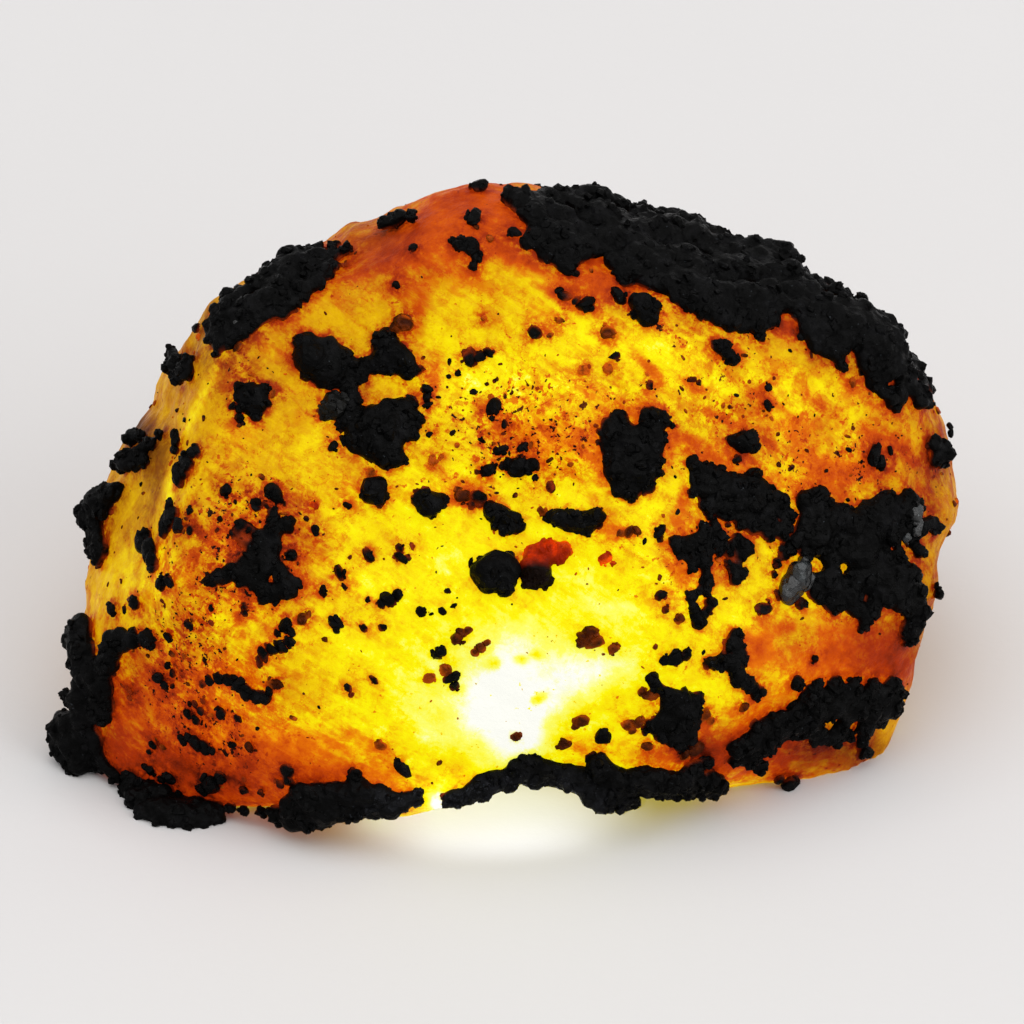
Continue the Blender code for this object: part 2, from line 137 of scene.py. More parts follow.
# Lumps of each crust on the front, in drawing units: (right, down, radius).
DRAWN_LUMPS = {
    "top_crust": (
        (513, 202, 11), (521, 206, 14), (534, 206, 11), (546, 203, 12), (559, 203, 12),
        (572, 202, 12), (591, 196, 12), (604, 200, 11), (530, 218, 14), (534, 239, 11),
        (527, 246, 7), (553, 222, 18), (559, 243, 17), (546, 255, 11), (566, 264, 12),
        (569, 274, 7), (578, 252, 14), (585, 218, 20), (604, 222, 18), (598, 249, 15),
        (617, 222, 11), (630, 228, 11), (623, 243, 20), (614, 264, 11), (636, 262, 18),
        (630, 280, 10), (646, 225, 10), (658, 224, 11), (681, 222, 10), (690, 228, 9),
        (652, 238, 18), (674, 238, 18), (694, 242, 16), (655, 263, 18), (681, 266, 18),
        (652, 285, 9), (668, 288, 12), (687, 289, 14), (700, 306, 7), (642, 313, 15), (633, 304, 8),
        (651, 310, 7), (646, 320, 7), (704, 237, 6), (717, 251, 8), (736, 246, 8), (752, 246, 9),
        (768, 250, 10), (784, 251, 10), (794, 259, 8), (781, 264, 12), (762, 262, 14),
        (736, 260, 14), (717, 262, 12), (698, 276, 18), (704, 294, 15), (720, 276, 18),
        (723, 302, 15), (742, 277, 18), (746, 302, 18), (736, 319, 12), (752, 325, 12),
        (757, 338, 6), (768, 277, 16), (768, 302, 18), (768, 322, 9), (787, 279, 16),
        (790, 299, 17), (806, 297, 14), (800, 313, 12), (803, 333, 10), (813, 345, 10),
        (803, 283, 8), (813, 283, 6), (819, 291, 8), (835, 291, 7), (845, 297, 6), (858, 301, 7),
        (864, 311, 8), (875, 318, 8), (887, 323, 8), (896, 333, 8), (819, 309, 16), (819, 327, 15),
        (832, 352, 12), (838, 309, 14), (845, 330, 18), (838, 367, 7), (858, 316, 14),
        (864, 340, 18), (861, 364, 11), (870, 383, 8), (874, 329, 13), (880, 347, 15),
        (883, 371, 12), (891, 339, 11), (899, 350, 8), (896, 366, 12), (903, 361, 8), (902, 384, 7),
        (909, 374, 7), (917, 391, 8), (927, 403, 6), (918, 400, 11), (909, 388, 8), (891, 398, 13),
        (880, 394, 6), (712, 316, 12), (725, 322, 11), (703, 304, 11), (690, 300, 8), (738, 328, 8),
        (575, 235, 12), (590, 235, 12), (545, 232, 12), (560, 230, 10), (612, 234, 12),
        (727, 256, 9), (710, 250, 8), (742, 254, 8), (633, 222, 9), (622, 219, 7), (618, 273, 9),
        (622, 284, 6), (668, 250, 12), (664, 275, 12), (641, 276, 12), (638, 276, 9), (648, 284, 9),
        (658, 290, 9), (621, 208, 7), (701, 252, 8), (764, 282, 9), (676, 300, 9), (690, 308, 9),
        (700, 314, 8), (632, 212, 7), (641, 215, 7), (716, 243, 7), (725, 243, 7), (733, 245, 7),
        (672, 222, 8),
    ),
    "left_shoulder_crust": (
        (348, 251, 6), (336, 250, 7), (320, 252, 8), (336, 258, 8), (346, 266, 3), (304, 257, 9),
        (317, 263, 13), (330, 266, 7), (291, 261, 12), (298, 273, 16), (314, 278, 11),
        (278, 274, 11), (285, 289, 15), (269, 281, 9), (259, 290, 12), (272, 304, 15),
        (288, 304, 10), (246, 297, 10), (232, 300, 9), (253, 314, 15), (234, 312, 13),
        (223, 315, 9), (215, 328, 8), (227, 330, 12), (246, 333, 9), (215, 341, 7), (224, 346, 8),
        (219, 356, 4), (237, 340, 7), (326, 276, 11), (318, 286, 9), (304, 294, 11), (296, 306, 9),
        (284, 312, 10), (268, 319, 9), (255, 327, 8), (334, 270, 7), (241, 339, 6), (234, 347, 5),
    ),
    "left_brow_grain": ((179, 366, 13), (189, 372, 9), (174, 353, 7), (191, 361, 6), (181, 379, 7)),
    "top_left_grain": ((399, 223, 10), (386, 226, 7), (412, 219, 6)),
    "left_rim_grain": (
        (130, 461, 11), (122, 465, 8), (138, 464, 7), (143, 452, 7), (152, 443, 7), (162, 434, 5),
        (134, 438, 8), (144, 436, 6), (146, 461, 6),
    ),
    "left_rim_crust": (
        (110, 495, 11), (99, 500, 13), (118, 492, 9), (90, 512, 13), (96, 524, 12), (84, 518, 8),
        (106, 508, 10), (94, 540, 9), (102, 541, 9), (103, 551, 9), (94, 552, 7), (100, 560, 6),
    ),
    "lower_left_crust": (
        (82, 630, 16), (75, 641, 10), (88, 648, 17), (82, 663, 11), (88, 674, 13), (98, 664, 8),
        (117, 642, 12), (126, 638, 11), (136, 638, 9), (149, 636, 8), (154, 644, 5), (112, 658, 12),
        (110, 670, 9), (104, 683, 13), (104, 696, 12), (78, 697, 8), (82, 699, 14), (67, 694, 6),
        (60, 728, 11), (55, 738, 7), (72, 722, 16), (88, 718, 15), (101, 709, 10), (109, 702, 9),
        (107, 716, 8), (63, 748, 13), (78, 744, 17), (94, 738, 13), (78, 764, 13), (91, 760, 12),
        (101, 757, 8), (107, 766, 7), (117, 776, 7),
    ),
    "base_left_crust": (
        (128, 788, 9), (146, 798, 12), (136, 798, 10), (158, 806, 13), (171, 810, 14),
        (168, 798, 10), (140, 784, 9), (153, 787, 9), (130, 777, 7), (166, 789, 8), (184, 800, 9),
        (200, 803, 9), (184, 811, 14), (197, 816, 11), (210, 811, 13), (219, 815, 8), (148, 811, 9),
        (160, 817, 8), (176, 820, 7), (190, 820, 8), (204, 820, 7), (156, 794, 7), (219, 805, 6),
        (232, 806, 5), (245, 808, 5), (264, 809, 6), (277, 810, 8), (283, 817, 7), (296, 816, 12),
        (296, 804, 13), (312, 806, 16), (315, 792, 16), (306, 792, 13), (312, 816, 13),
        (325, 817, 10), (328, 806, 15), (328, 786, 9), (341, 804, 13), (347, 792, 12),
        (354, 785, 8), (340, 792, 15), (356, 771, 7), (366, 789, 13), (382, 792, 13),
        (372, 804, 11), (391, 803, 12), (404, 797, 11), (416, 795, 8), (420, 789, 5), (346, 809, 9),
        (359, 809, 8),
    ),
    "base_right_crust": (
        (450, 795, 8), (458, 794, 9), (468, 791, 10), (484, 781, 12), (494, 773, 9), (481, 791, 7),
        (506, 777, 11), (519, 766, 12), (534, 757, 8), (526, 760, 9), (545, 763, 11),
        (532, 772, 11), (551, 772, 11), (564, 770, 12), (583, 772, 12), (570, 781, 9),
        (590, 790, 12), (606, 791, 13), (602, 799, 11), (622, 794, 13), (628, 800, 9),
        (596, 757, 9), (602, 766, 12), (622, 776, 14), (641, 773, 12), (654, 776, 12),
        (647, 785, 10), (666, 778, 12), (680, 780, 12), (694, 778, 12), (706, 776, 12),
        (716, 780, 9), (722, 786, 6), (691, 766, 10), (704, 760, 7), (660, 789, 9), (686, 790, 8),
        (712, 790, 8), (674, 791, 7), (700, 788, 8),
    ),
    "right_crust": (
        (813, 497, 12), (800, 500, 9), (819, 509, 13), (806, 519, 13), (829, 522, 11),
        (813, 537, 15), (848, 522, 14), (838, 512, 8), (864, 512, 12), (883, 500, 11),
        (906, 499, 11), (915, 506, 8), (896, 513, 14), (877, 526, 15), (928, 522, 8), (934, 528, 7),
        (915, 528, 9), (910, 542, 6), (918, 552, 7), (819, 550, 8), (826, 579, 13), (819, 597, 8),
        (832, 607, 8), (845, 592, 13), (838, 550, 12), (858, 552, 17), (864, 577, 15),
        (883, 577, 14), (906, 579, 13), (914, 592, 10), (917, 609, 10), (905, 607, 10),
        (913, 625, 9), (904, 628, 9), (906, 640, 6), (896, 597, 12), (877, 597, 12), (864, 612, 11),
        (861, 626, 6), (851, 607, 9), (912, 638, 6), (800, 531, 9), (790, 541, 9), (783, 551, 8),
        (848, 537, 12), (828, 562, 8), (871, 562, 10), (888, 534, 11), (899, 528, 10),
        (895, 556, 9), (880, 558, 9), (892, 568, 9), (905, 570, 8), (850, 573, 8), (836, 537, 7),
        (809, 578, 8), (813, 590, 9), (803, 555, 7), (774, 562, 5), (776, 594, 5), (798, 602, 6),
        (771, 574, 4),
    ),
    "mid_right_crust": (
        (690, 464, 7), (703, 470, 9), (714, 478, 12), (702, 488, 12), (728, 487, 13),
        (716, 496, 12), (704, 503, 9), (743, 488, 14), (733, 503, 12), (748, 503, 13),
        (762, 495, 12), (765, 511, 9), (776, 502, 10), (784, 516, 8), (782, 527, 7), (768, 524, 7),
        (754, 517, 9), (719, 512, 7), (750, 477, 8), (693, 480, 7), (690, 493, 5), (706, 511, 7),
        (723, 515, 7), (738, 521, 8), (752, 527, 8), (766, 532, 8), (780, 533, 7),
    ),
    "mid_right_branch": (
        (678, 546, 10), (688, 556, 7), (704, 552, 7), (703, 566, 7), (704, 580, 7), (705, 590, 5),
        (716, 536, 8), (702, 540, 6), (726, 549, 6), (742, 546, 9), (734, 541, 7), (733, 574, 9),
        (726, 563, 5), (688, 595, 6), (691, 608, 6), (696, 620, 8), (703, 611, 6), (708, 601, 6),
        (696, 590, 4), (690, 541, 9), (697, 552, 9), (709, 545, 7), (716, 549, 6), (738, 555, 6),
        (689, 567, 5), (701, 528, 6), (711, 523, 6),
    ),
    "lower_right_crust": (
        (794, 681, 8), (813, 686, 9), (832, 684, 9), (851, 684, 9), (870, 684, 9), (890, 684, 9),
        (898, 693, 7), (889, 704, 12), (870, 707, 13), (851, 706, 13), (832, 706, 13),
        (813, 706, 12), (795, 708, 10), (781, 717, 10), (768, 719, 9), (756, 726, 9),
        (762, 738, 11), (744, 741, 10), (735, 746, 9), (735, 757, 7), (749, 757, 9), (758, 765, 7),
        (774, 730, 9), (813, 727, 9), (838, 726, 9), (862, 724, 10), (877, 717, 10), (861, 740, 7),
        (864, 752, 7), (813, 740, 6), (822, 696, 10), (844, 695, 10), (862, 695, 10),
        (880, 694, 10), (804, 697, 9), (766, 750, 6), (826, 738, 6), (786, 728, 10), (793, 719, 11),
        (776, 739, 6), (768, 745, 7), (753, 745, 10), (806, 723, 10), (799, 732, 7), (846, 734, 7),
        (820, 736, 8), (833, 738, 8),
    ),
    "lower_mid_crust": (
        (650, 675, 6), (655, 684, 7), (668, 692, 8), (682, 696, 9), (695, 697, 8), (678, 709, 11),
        (660, 718, 9), (672, 722, 12), (688, 718, 10), (672, 737, 9), (661, 730, 9), (685, 733, 9),
        (650, 722, 6), (664, 702, 8), (644, 727, 5), (693, 708, 8), (680, 744, 6),
    ),
    "lower_mid_branch": (
        (733, 633, 7), (727, 642, 8), (736, 645, 7), (708, 661, 8), (720, 660, 8), (732, 662, 10),
        (736, 675, 9), (746, 682, 8), (755, 689, 7), (754, 695, 5), (740, 655, 6),
    ),
    "centre_crust": (
        (617, 421, 9), (607, 432, 11), (622, 436, 12), (649, 420, 11), (644, 438, 12),
        (628, 454, 14), (610, 463, 10), (618, 474, 15), (638, 470, 15), (653, 458, 9),
        (619, 489, 9), (629, 494, 7), (644, 485, 9), (659, 420, 8), (669, 426, 4), (656, 441, 9),
        (651, 471, 8), (605, 446, 8),
    ),
    "upper_left_crust": (
        (317, 359, 18), (310, 347, 11), (328, 351, 12), (344, 357, 10), (333, 371, 16),
        (317, 373, 11), (345, 377, 11), (304, 362, 8), (357, 368, 9), (368, 367, 8), (381, 368, 9),
        (388, 341, 11), (381, 348, 8), (397, 353, 12), (404, 364, 11), (411, 373, 8),
        (387, 360, 11), (394, 370, 8), (420, 372, 5), (376, 420, 12), (390, 414, 12),
        (402, 413, 13), (417, 421, 8), (372, 434, 17), (390, 431, 16), (406, 431, 9),
        (360, 443, 10), (347, 441, 5), (382, 453, 14), (397, 457, 10), (388, 466, 5), (405, 461, 5),
        (413, 437, 7), (335, 382, 10), (350, 385, 9), (323, 380, 9), (364, 379, 7), (412, 405, 7),
        (352, 411, 9), (358, 403, 7), (346, 424, 8), (356, 427, 9), (354, 392, 7),
    ),
    "grey_crystal": ((337, 408, 13), (329, 413, 9), (347, 404, 8)),
    "left_face_crust": (
        (277, 493, 9), (282, 499, 5), (261, 504, 6), (277, 512, 5), (290, 525, 9), (280, 528, 8),
        (245, 525, 6), (238, 533, 5), (252, 528, 6), (262, 535, 6), (272, 529, 5), (293, 554, 5),
        (277, 546, 8), (264, 549, 11), (251, 560, 8), (264, 566, 12), (277, 560, 9), (238, 570, 9),
        (226, 576, 8), (214, 579, 7), (245, 578, 8), (261, 581, 10), (270, 592, 9), (278, 598, 5),
        (290, 586, 10), (299, 582, 6), (286, 575, 8), (246, 541, 5), (272, 519, 4),
    ),
    "left_grain": ((256, 399, 14), (246, 391, 8), (268, 391, 6), (247, 407, 7), (259, 415, 7),
                   (266, 404, 8)),
    "upper_grain": ((460, 247, 7), (453, 245, 4), (471, 250, 8), (478, 258, 6), (474, 270, 5)),
    "right_upper_grain": ((721, 353, 9), (714, 347, 6), (729, 360, 7)),
    "right_mid_grain": ((740, 443, 12), (729, 441, 6), (751, 448, 6)),
    "right_rim_grain": ((940, 452, 10), (931, 444, 8), (934, 461, 6), (942, 463, 6)),
    "centre_left_grain": ((377, 490, 13), (369, 494, 7), (383, 499, 8)),
    "centre_grain": ((430, 502, 13), (418, 500, 6), (442, 501, 7), (418, 491, 3), (433, 512, 6)),
    "centre_pair_grain": ((493, 510, 9), (501, 517, 12), (513, 523, 10), (506, 530, 6)),
    "centre_long_grain": ((549, 516, 6), (561, 518, 11), (577, 522, 12), (593, 519, 11),
                          (586, 532, 5), (597, 510, 4)),
    "centre_low_grain": ((496, 571, 21), (484, 566, 9), (507, 562, 9), (505, 584, 10),
                         (486, 582, 8)),
    "red_grain": ((530, 553, 8), (546, 549, 12), (562, 549, 8), (558, 557, 7), (534, 570, 14),
                  (543, 580, 8), (530, 580, 8)),
}
# How far some crusts run on over the edge to the parts that face away, in mm.
SPILLS = {"top_crust": 5.2, "left_shoulder_crust": 2.6, "lower_left_crust": 3.4}

# Small grains on the front, each mineral in drawing units: (right, down, radius).
BLACK_GRAINS = (
    (242, 419, 5), (235, 407, 4), (474, 220, 8), (513, 235, 6), (414, 250, 4), (398, 287, 4),
    (479, 188, 8), (470, 358, 8), (479, 358, 6), (489, 354, 5), (473, 364, 4), (465, 353, 3),
    (494, 408, 7), (492, 419, 3), (458, 375, 3), (495, 382, 2), (535, 334, 7), (614, 358, 5),
    (648, 386, 4), (690, 381, 4), (697, 384, 3), (766, 406, 5), (766, 388, 4), (735, 460, 5),
    (872, 455, 8), (879, 462, 7), (876, 449, 5), (950, 426, 4), (951, 433, 4), (889, 451, 4),
    (478, 499, 8), (472, 505, 4), (488, 470, 7), (495, 466, 3), (509, 464, 6), (519, 467, 10),
    (531, 466, 7), (503, 466, 4), (500, 451, 5), (505, 448, 3), (523, 447, 5), (505, 425, 4),
    (430, 435, 3), (482, 441, 3), (550, 487, 5), (535, 478, 3), (658, 531, 6), (658, 539, 4),
    (659, 594, 6), (664, 608, 4), (761, 607, 8), (370, 554, 6), (401, 548, 5), (402, 557, 6),
    (396, 556, 3), (413, 546, 3), (409, 557, 3), (342, 573, 6), (346, 586, 3), (390, 598, 8),
    (398, 594, 6), (382, 603, 5), (369, 599, 3), (318, 530, 5), (295, 555, 5), (349, 505, 4),
    (325, 590, 5), (338, 621, 7), (338, 628, 4), (422, 610, 5), (443, 610, 4), (454, 605, 3),
    (448, 590, 3), (365, 627, 4), (384, 626, 4), (375, 678, 4), (350, 686, 4), (353, 693, 3),
    (404, 766, 8), (398, 758, 3), (289, 768, 7), (290, 778, 7), (282, 782, 5), (190, 737, 6),
    (184, 739, 5), (198, 741, 8), (206, 746, 7), (213, 749, 5), (190, 712, 5), (203, 710, 4),
    (197, 718, 5), (197, 703, 4), (223, 712, 6), (131, 690, 3), (131, 697, 3), (154, 744, 4),
    (150, 751, 3), (234, 743, 4), (204, 788, 7), (213, 783, 10), (222, 776, 7), (229, 491, 6),
    (223, 519, 3), (238, 502, 2), (193, 511, 4), (193, 530, 4), (214, 607, 3), (247, 606, 4),
    (247, 612, 4), (192, 624, 5), (171, 636, 5), (813, 658, 4), (177, 435, 5), (178, 442, 6),
    (177, 450, 5), (197, 452, 7), (190, 463, 9), (182, 475, 9), (187, 472, 6), (200, 453, 4),
    (174, 517, 11), (168, 525, 9), (181, 526, 7), (172, 506, 6), (148, 535, 8), (147, 544, 11),
    (153, 551, 10), (156, 561, 8), (154, 568, 5), (137, 602, 7), (113, 608, 6), (441, 650, 7),
    (437, 653, 5), (601, 735, 9), (335, 447, 5), (427, 390, 5), (428, 398, 5), (428, 406, 4),
    (585, 306, 8), (576, 303, 5), (564, 298, 6), (559, 292, 4), (684, 308, 6), (790, 783, 9),
    (779, 779, 6), (938, 594, 6), (936, 586, 4), (673, 656, 8), (664, 658, 6), (684, 653, 6),
    (288, 624, 7), (280, 632, 4), (293, 630, 5), (291, 640, 6), (283, 645, 7), (274, 648, 7),
    (266, 653, 6), (262, 660, 5), (205, 683, 4), (212, 679, 5), (221, 677, 6), (231, 678, 7),
    (240, 682, 8), (248, 690, 8), (257, 694, 8), (266, 695, 7), (271, 690, 5), (165, 583, 7),
    (172, 580, 6), (197, 329, 5), (617, 298, 7), (205, 700, 3), (452, 675, 7), (455, 684, 5),
    (192, 703, 3), (240, 717, 4), (160, 676, 6), (167, 684, 5), (175, 672, 4), (170, 664, 4),
    (152, 770, 6), (146, 766, 4), (170, 777, 7), (162, 779, 4), (245, 789, 5), (262, 791, 4),
)
BROWN_GRAINS = (
    (405, 325, 10), (399, 328, 7), (583, 372, 5), (462, 496, 7), (458, 490, 4), (542, 512, 5),
    (628, 531, 5), (620, 533, 4), (636, 530, 4), (678, 617, 5), (628, 722, 6), (588, 634, 10),
    (594, 640, 8), (612, 647, 6), (580, 718, 7), (576, 723, 5), (564, 742, 7), (458, 636, 7),
    (463, 631, 5), (468, 629, 4), (475, 651, 4), (481, 646, 5), (487, 641, 4), (446, 668, 6),
    (430, 676, 6), (382, 743, 6), (251, 745, 5), (277, 682, 7), (607, 370, 5), (559, 322, 4),
    (490, 241, 4), (607, 334, 8), (484, 320, 3), (550, 337, 3), (240, 348, 5), (275, 394, 4),
    (372, 475, 5), (516, 734, 5), (851, 383, 4), (701, 715, 6), (304, 618, 6), (310, 614, 4),
    (133, 600, 4), (433, 461, 5), (441, 458, 3), (649, 693, 7), (641, 690, 5), (638, 720, 6),
    (631, 727, 5), (704, 712, 6), (709, 719, 4), (694, 746, 8), (684, 752, 6), (646, 744, 5),
    (742, 706, 5), (668, 690, 4),
)
GREY_CRYSTALS = (
    (790, 573, 15), (787, 584, 15), (799, 579, 11), (908, 513, 12), (911, 526, 9), (903, 537, 7),
    (240, 327, 7), (227, 338, 4), (555, 224, 3), (292, 276, 4),
)
RED_GRAINS = ((604, 558, 6), (612, 563, 3), (505, 772, 4), (316, 505, 4))


def smooth_step(values: Array, low: float, high: float) -> Array:
    """0 below low, 1 above high, and 3s^2 - 2s^3 between them."""
    share = np.clip((values - low) / (high - low), 0.0, 1.0)
    return share * share * (3.0 - 2.0 * share)


def lattice_noise(points: Array, size: float, seed: int) -> Array:
    """Smooth noise in space.

    Random numbers lie on a cubic lattice, and the eight corners round a point are blended with a
    smooth step along each axis.

    Args:
        points: Places, one row each, in mm.
        size: Distance between the lattice's corners, in mm.
        seed: Seed of the random numbers.

    Returns:
        One number from -1 to 1 for each point.
    """
    side = 24
    lattice = np.random.default_rng(seed).uniform(-1.0, 1.0, (side, side, side))
    cell = np.floor(points / size).astype(int)
    share = smooth_step(points / size - cell, 0.0, 1.0)
    total = np.zeros(len(points))
    for corner in itertools.product((0, 1), repeat=3):
        weight = np.prod(np.where(corner, share, 1.0 - share), axis=1)
        index = (cell + corner) % side
        total += weight * lattice[index[:, 0], index[:, 1], index[:, 2]]
    return total


def two_octaves(points: Array, size: float, seed: int) -> Array:
    """Noise of two sizes added up: the second has half the size and half the height."""
    return lattice_noise(points, size, seed) + lattice_noise(points, size / 2, seed + 1) / 2


def cube_ball(steps: int) -> tuple[Array, Array]:
    """A ball's directions on a grid over the six faces of a cube, welded along the cube's edges.

    A corner (i, j) of a face's grid lies at tan(pi/4 * u), tan(pi/4 * v) on that face, with u and
    v from -1 to 1, which spreads the corners evenly once they are drawn onto the ball.

    Args:
        steps: Grid cells along a cube's edge.

    Returns:
        Unit directions, one row each, and the quads as rows of four indices, turned outwards.
    """
    side = steps + 1
    lines = np.tan(np.linspace(-1.0, 1.0, side) * math.pi / 4)
    first, second = np.meshgrid(np.arange(side), np.arange(side), indexing="ij")
    places, quads = [], []
    for axis, wall in itertools.product(range(3), (0, steps)):
        grid = np.empty((side, side, 3), int)
        grid[..., axis] = wall
        grid[..., (axis + 1) % 3] = first
        grid[..., (axis + 2) % 3] = second
        index = np.arange(side**2).reshape(side, side) + len(places) * side**2
        ring = [index[:-1, :-1], index[1:, :-1], index[1:, 1:], index[:-1, 1:]]
        if wall == 0:
            ring.reverse()
        places.append(grid.reshape(-1, 3))
        quads.append(np.stack([corner.ravel() for corner in ring], axis=1))
    lattice, inverse = np.unique(np.concatenate(places), axis=0, return_inverse=True)
    points = lines[lattice]
    points /= np.linalg.norm(points, axis=1, keepdims=True)
    return points, inverse.reshape(-1)[np.concatenate(quads)]


def tilted_frames(outward: Array, spin: Array) -> Array:
    """Turned axes for many crystals, from cross products with an upright or a level helper.

    Args:
        outward: Unit directions that the third axes take, one row each.
        spin: Turn of each crystal about its third axis, in radians.

    Returns:
        An array of 3 x 3 matrices whose rows are the axes.
    """
    nearly_upright = 0.9
    tilted = np.abs(outward[:, 2:3]) < nearly_upright
    helper = np.where(tilted, (0.0, 0.0, 1.0), (1.0, 0.0, 0.0))
    side = np.cross(helper, outward)
    side /= np.linalg.norm(side, axis=1, keepdims=True)
    other = np.cross(outward, side)
    turn, lift = np.cos(spin)[:, None], np.sin(spin)[:, None]
    return np.stack([side * turn + other * lift, other * turn - side * lift, outward], axis=1)


@dataclass
class Crystals:
    """Many small angular crystals, each a ball cut by random flat faces.

    Each ball comes from a cube with this many steps along an edge. Its faces are pairs, and skew
    is how far a face's partner is turned away from its exact opposite. They are cut at cuts times
    the radius, with edges that are sharper for a higher sharpness, and no corner reaches past
    longest times the radius. Flatness is a crystal's height over its width, and stretch the most
    that it is drawn out along its first axis.
    """

    middles: Array
    outward: Array
    radii: Array
    steps: int
    sharpness: float
    flatness: float
    stretch: float = 0.0
    faces: int = 5
    skew: float = 0.5
    cuts: Pair = (0.72, 1.0)
    longest: float = 1.2

    def shells(self, seed: int) -> tuple[Array, Array]:
        """The crystals' surfaces.

        Along a unit direction d a crystal reaches (sum over its faces of (max(n.d, 0) / h)^p)^(-1/p),
        a smooth minimum of the distances to its faces, with p the sharpness. It is then flattened
        along its third axis, turned and moved to its place.

        Args:
            seed: Seed of the faces' directions and distances.

        Returns:
            All points in mm and all quads.
        """
        dice = np.random.default_rng(seed)
        directions, quads = cube_ball(self.steps)
        count = len(self.radii)
        normals = dice.normal(size=(count, self.faces, 3))
        partners = -normals + dice.normal(size=normals.shape) * self.skew
        normals = np.concatenate([normals, partners], axis=1)
        normals /= np.linalg.norm(normals, axis=2, keepdims=True)
        distances = dice.uniform(*self.cuts, (count, normals.shape[1]))
        closeness = np.maximum(np.einsum("vk,cnk->cvn", directions, normals), 0.0)
        closeness = ((closeness / distances[:, None, :]) ** self.sharpness).sum(axis=2)
        reach = closeness ** (-1.0 / self.sharpness)
        shape = directions[None] * np.minimum(reach, self.longest)[..., None]
        drawn_out = 1.0 + self.stretch * dice.uniform(0.0, 1.0, count)
        sides = np.stack([drawn_out, 1.0 / drawn_out, np.full(count, self.flatness)], axis=1)
        shape = shape * self.radii[:, None, None] * sides[:, None, :]
        axes = tilted_frames(self.outward, dice.uniform(0.0, 2.0 * math.pi, count))
        points = np.einsum("cvk,ckj->cvj", shape, axes) + self.middles[:, None, :]
        index = quads[None] + (np.arange(count) * len(directions))[:, None, None]
        return points.reshape(-1, 3), index.reshape(-1, 4)


def new_object(name: str, data: bpy.types.ID) -> bpy.types.Object:
    """A new object that is linked to the scene.

    Args:
        name: The object's name.
        data: Its mesh, light or camera.

    Returns:
        The object, at the origin.
    """
    item = bpy.data.objects.new(name, data)
    bpy.context.scene.collection.objects.link(item)
    return item


def new_mesh(name: str, points: Array, quads: Array, smooth: int | None = None) -> bpy.types.Mesh:
    """A mesh that is shaded smooth, or flat after its first faces.

    Args:
        name: The mesh's name.
        points: Its points in mm, one row each.
        quads: Its faces, as rows of four indices turned outwards.
        smooth: How many of its first faces are shaded smooth, or None for all of them.

    Returns:
        The mesh, in metres.
    """
    mesh = bpy.data.meshes.new(name)
    mesh.vertices.add(len(points))
    mesh.vertices.foreach_set("co", (points * MM).astype(np.float32).ravel())
    mesh.loops.add(quads.size)
    mesh.loops.foreach_set("vertex_index", quads.astype(np.int32).ravel())
    mesh.polygons.add(len(quads))
    starts = np.arange(0, quads.size, quads.shape[1], dtype=np.int32)
    mesh.polygons.foreach_set("loop_start", starts)
    first = len(quads) if smooth is None else smooth
    mesh.polygons.foreach_set("use_smooth", np.arange(len(quads)) < first)
    mesh.update(calc_edges=True)
    mesh.validate()
    return mesh


def set_attribute(mesh: bpy.types.Mesh, name: str, values: Array) -> None:
    """Stores one number per point of the mesh."""
    layer = mesh.attributes.new(name, "FLOAT", "POINT")
    layer.data.foreach_set("value", values.astype(np.float32))


def normals_of(points: Array, quads: Array) -> Array:
    """The outward unit direction at each point of a skin.

    Args:
        points: The skin's points in mm.
        quads: Its quads.

    Returns:
        One unit direction a row.
    """
    mesh = new_mesh("normals", points, quads)
    normals = np.empty(len(points) * 3, np.float32)
    mesh.vertex_normals.foreach_get("vector", normals)
    bpy.data.meshes.remove(mesh)
    return normals.reshape(-1, 3).astype(float)


def fused(points: Array, quads: Array, voxel: float) -> tuple[Array, Array]:
    """One closed skin round many shells that run into each other.

    It is rebuilt at a scale of one unit to the millimetre, since the cells are finer than 1 mm.

    Args:
        points: The shells' points, in mm.
        quads: Their quads.
        voxel: Size of the cells that the skin is rebuilt from, in mm.

    Returns:
        The skin's points in mm and its quads.
    """
    rough = new_mesh("shells", points / MM, quads)
    item = new_object("shells", rough)
    remesh = item.modifiers.new("fuse", "REMESH")
    remesh.mode = "VOXEL"
    remesh.voxel_size = voxel
    bpy.context.view_layer.update()
    evaluated = item.evaluated_get(bpy.context.evaluated_depsgraph_get())
    mesh = evaluated.to_mesh()
    skin = np.empty(len(mesh.vertices) * 3, np.float32)
    mesh.vertices.foreach_get("co", skin)
    index = np.empty(len(mesh.loops), np.int32)
    mesh.loops.foreach_get("vertex_index", index)
    evaluated.to_mesh_clear()
    bpy.data.objects.remove(item)
    bpy.data.meshes.remove(rough)
    return skin.reshape(-1, 3).astype(float), index.reshape(-1, 4)


@dataclass
class Piece:
    """A finished piece of the object: its mesh, its slot and the nodes that it stands for."""

    name: str
    mesh: bpy.types.Mesh
    material: bpy.types.Material
    slot: str
    nodes: tuple[str, ...] = ()

    def place(self) -> None:
        """Puts the piece into the scene, at the origin, and reports it."""
        item = new_object(self.name, self.mesh)
        self.mesh.materials.append(self.material)
        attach(item, "root")
        if self.nodes:
            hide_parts(*self.nodes)
        LOG.info("%s: %d quads", self.name, len(self.mesh.polygons))


@dataclass(frozen=True)
class Mark:
    """A mark on the skin, in mm on the plane of marks."""

    across: float
    up: float
    radius: float

    @classmethod
    def drawn(cls, right: float, down: float, radius: float) -> Mark:
        """A mark from drawing units: (right - zero, zero - down, radius) / units per mm."""
        return cls(
            (right - DRAWN_ACROSS_ZERO) / UNITS_PER_MM,
            (DRAWN_UP_ZERO - down) / UNITS_PER_MM,
            radius / UNITS_PER_MM,
        )


class Lump(NamedTuple):
    """A lump on the skin: its middle in mm, its outward unit direction and its radius in mm."""

    middle: Array
    outward: Array
    radius: float


